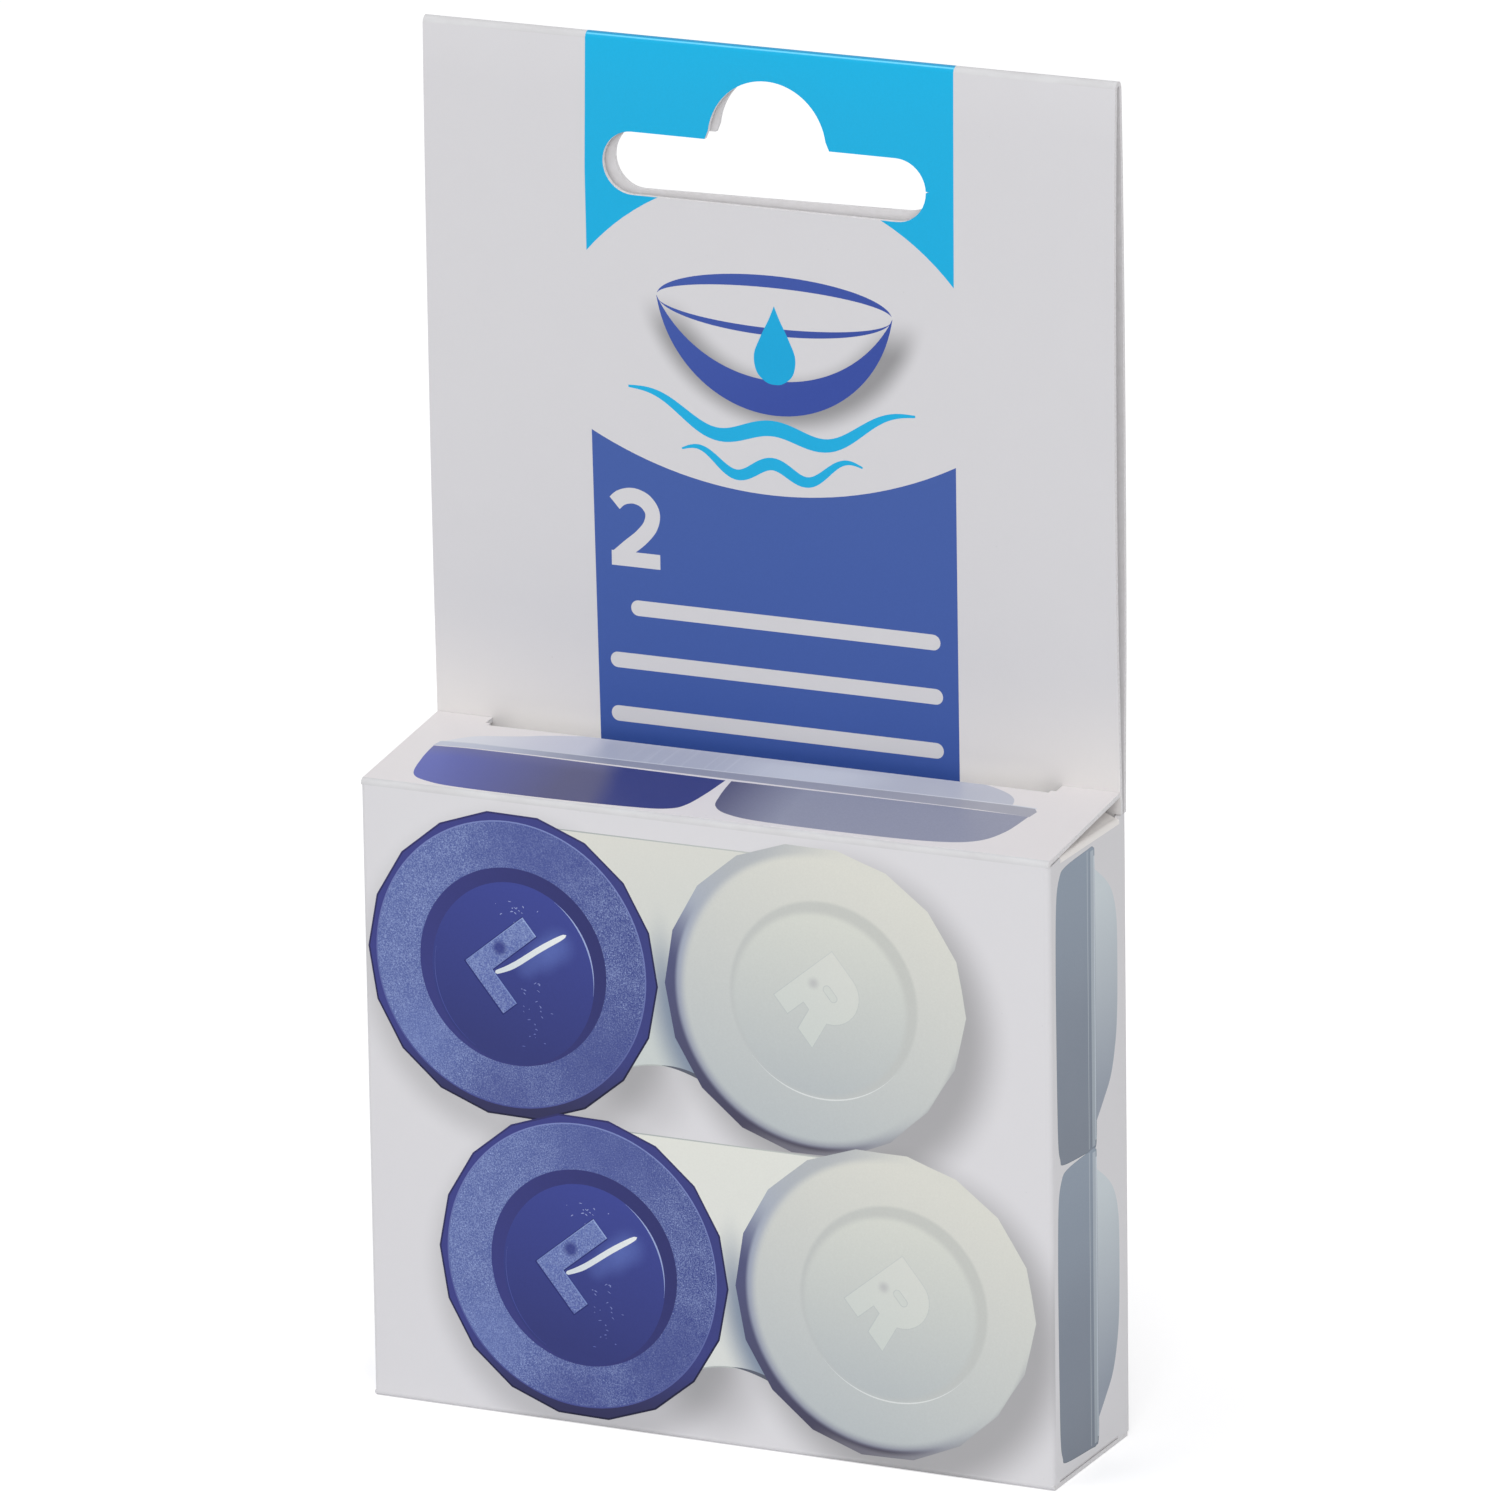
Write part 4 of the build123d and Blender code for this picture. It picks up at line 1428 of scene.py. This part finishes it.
def dust_flap(label, name, sign, up):
    """A dust flap and its fold. sign is 1 on the right and -1 on the left."""
    node = f"{label}_{name}_dust_flap"
    low, high = node_box(node)
    face, wall = low.z - base_settle, side_low.z - base_fold_drop
    turn_round, shoulder = base_fold_round, 0.0
    if up > 0:
        face, wall = high.z + flap_lift, side_high.z + flap_lift
        turn_round, shoulder = fold_round, flap_shoulder
        low.y += flap_cut_back
    hand = sign * up

    def folded():
        course = Course((sign * half_width, wall), up * pi / 2, hand)
        return course.run(abs(face - wall) - turn_round).bend(turn_round, hand * pi / 2)

    bend, around = folded(), folded()
    root, rear = around.length, high.y + shoulder
    around.run(high.x - low.x - turn_round)
    step = root + half_width - tuck_half - turn_round - slit_width
    end = around.length
    outline = [(root, low.y), (end, low.y + dust_front_taper), (end, high.y - dust_rear_taper)]
    outline += [(step, high.y), (step - shoulder * 0.3, rear), (root, rear)]

    def spring(u, y):
        inward, back = held((u - root) / spring_run), held((y - low.y) / (rear - low.y))
        return -flap_spring * sin(pi / 2 * inward) ** 2 * back

    # The flaps take the paler board, painted light.
    look = {"slot": "plain_board", "finish": "flap_board", "grid": 3.0}
    look["sink"] = spring if up > 0 else lies_flat
    panel(f"{label}_{name}_dust_board", node, node, outline, around, "XZ", **look)
    start, end = Vector((sign * half_width, 0, wall)), Vector((bend.place[0], 0, bend.place[1]))
    half, middle = (rear - low.y) / 2, (rear + low.y) / 2
    # Top dust folds take the flaps' paler board, painted light; bottom ones the darker crease board, painted
    # shade.
    finish = "flap_board" if up > 0 else "creased_board"
    crease(f"{label}_{name}_dust_fold", half, bend, "XZ", middle, finish)


closure("top", lid_hinge, lid_rise, 1)
closure("bottom", base_hinge, 0.0, -1)


# ---------------------------------------------------------------- cases and hidden parts


def finish_node(node, made):
    """Gives a CAD node a finish."""
    mesh = frame["nodes"][node].data
    mesh.materials.clear()
    mesh.materials.append(made)


def cap_centre(node):
    """The axis of a cap, across the carton and up."""
    low, high = node_box(node)
    return (low.x + high.x) / 2, (low.z + high.z) / 2


body_plastic = case_plastic()
# Each cap's skin, the paler colour of its ring's painted glints and handling marks, and its dish.
cap_tones = {
    "left": (tone(84, 94, 158), tone(146, 162, 208), tone(52, 58, 132)),
    "right": (tone(212, 216, 210), tone(228, 232, 228), tone(204, 210, 206)),
}
for row in ("upper", "lower"):
    finish_node(f"{row}_case_body", body_plastic)
    for name, tones in cap_tones.items():
        node = f"{row}_{name}_cap"
        finish_node(node, cap_plastic(f"{node}_plastic", cap_centre(node), *tones))
finish_node("seam_flap", finishes["raw_board"])
finish_node("header_glue", dried_glue())


# ---------------------------------------------------------------- floor, light and camera


def floor(reach=4.0, glow=0.4):
    """A pale floor that shows as white and keeps the object's shadow. It can't be seen from below."""
    mesh = bpy.data.meshes.new("floor")
    corners = [(-reach, -reach, 0), (reach, -reach, 0), (reach, reach, 0), (-reach, reach, 0)]
    mesh.from_pydata(corners, [], [(0, 1, 2, 3)])
    made = bpy.data.materials.new("floor_paint")
    made.use_nodes = True
    w, shader = Wiring(made.node_tree), made.node_tree.nodes["Principled BSDF"]
    cloud = w.noise(w.node("TexCoord").outputs["Object"], 3.0, 3.0)
    w.put(shader, "Base Color", w.mix(cloud, tone(236, 236, 237), tone(240, 240, 241)))
    w.put(shader, "Roughness", 0.9)
    w.put(shader, "Specular IOR Level", 0.1)
    light = w.node("Emission", {"Color": (1, 1, 1, 1), "Strength": w.times(w.seen_itself(), glow)})
    both = w.node("AddShader", {0: shader.outputs[0], 1: light.outputs[0]})
    under = w.node("NewGeometry").outputs["Backfacing"]
    mixed = w.node("MixShader", {0: under, 1: both.outputs[0], 2: w.node("BsdfTransparent").outputs[0]})
    w.put(made.node_tree.nodes["Material Output"], "Surface", mixed.outputs[0])
    mesh.materials.append(made)
    placed("floor", mesh)


def world_light(level):
    """Even light from all round. It shows as white behind the object."""
    world = bpy.data.worlds.new("studio")
    world.use_nodes = True
    bpy.context.scene.world = world
    w, back = Wiring(world.node_tree), world.node_tree.nodes["Background"]
    w.put(back, "Color", (1, 1, 1, 1))
    w.put(back, "Strength", w.spread(w.seen_itself(), 0, 1, level, 1.0))


def softbox(name, place, size, power, aim=Vector((0, 0, 0.06))):
    """A square soft lamp that faces the middle of the carton."""
    lamp = bpy.data.lights.new(name, "AREA")
    lamp.shape = "SQUARE"
    lamp.size = size
    lamp.energy = power
    stand = placed(name, lamp, place)
    stand.rotation_euler = (aim - Vector(place)).to_track_quat("-Z", "Y").to_euler()


def camera():
    """A long lens, a little above the carton and to its right."""
    height, turn, lean = radians(16.56), radians(-25.37), radians(-0.85)
    view = Matrix.Rotation(lean, 3, "Y") @ Matrix.Rotation(height, 3, "X") @ Matrix.Rotation(turn, 3, "Z")
    aim = Vector((0, front_y, lid_hinge.z / 2))
    stand_off = Vector((-4.1, 1295.8, -35.5))
    lens = bpy.data.cameras.new("camera")
    lens.lens = 336.2
    lens.sensor_width = 36.0
    lens.clip_end = 20.0
    made = placed("camera", lens)
    upright = view.transposed() @ Matrix.Rotation(pi / 2, 3, "X")
    made.matrix_world = Matrix.Translation((aim - view.transposed() @ stand_off) * MM) @ upright.to_4x4()
    bpy.context.scene.camera = made


floor()
world_light(0.5)
softbox("key_softbox", (0.9, -1.5, 1.3), 1.4, 17)
softbox("top_softbox", (-0.7, -0.6, 1.6), 1.2, 8)
camera()
bpy.context.scene.view_settings.view_transform = "Standard"
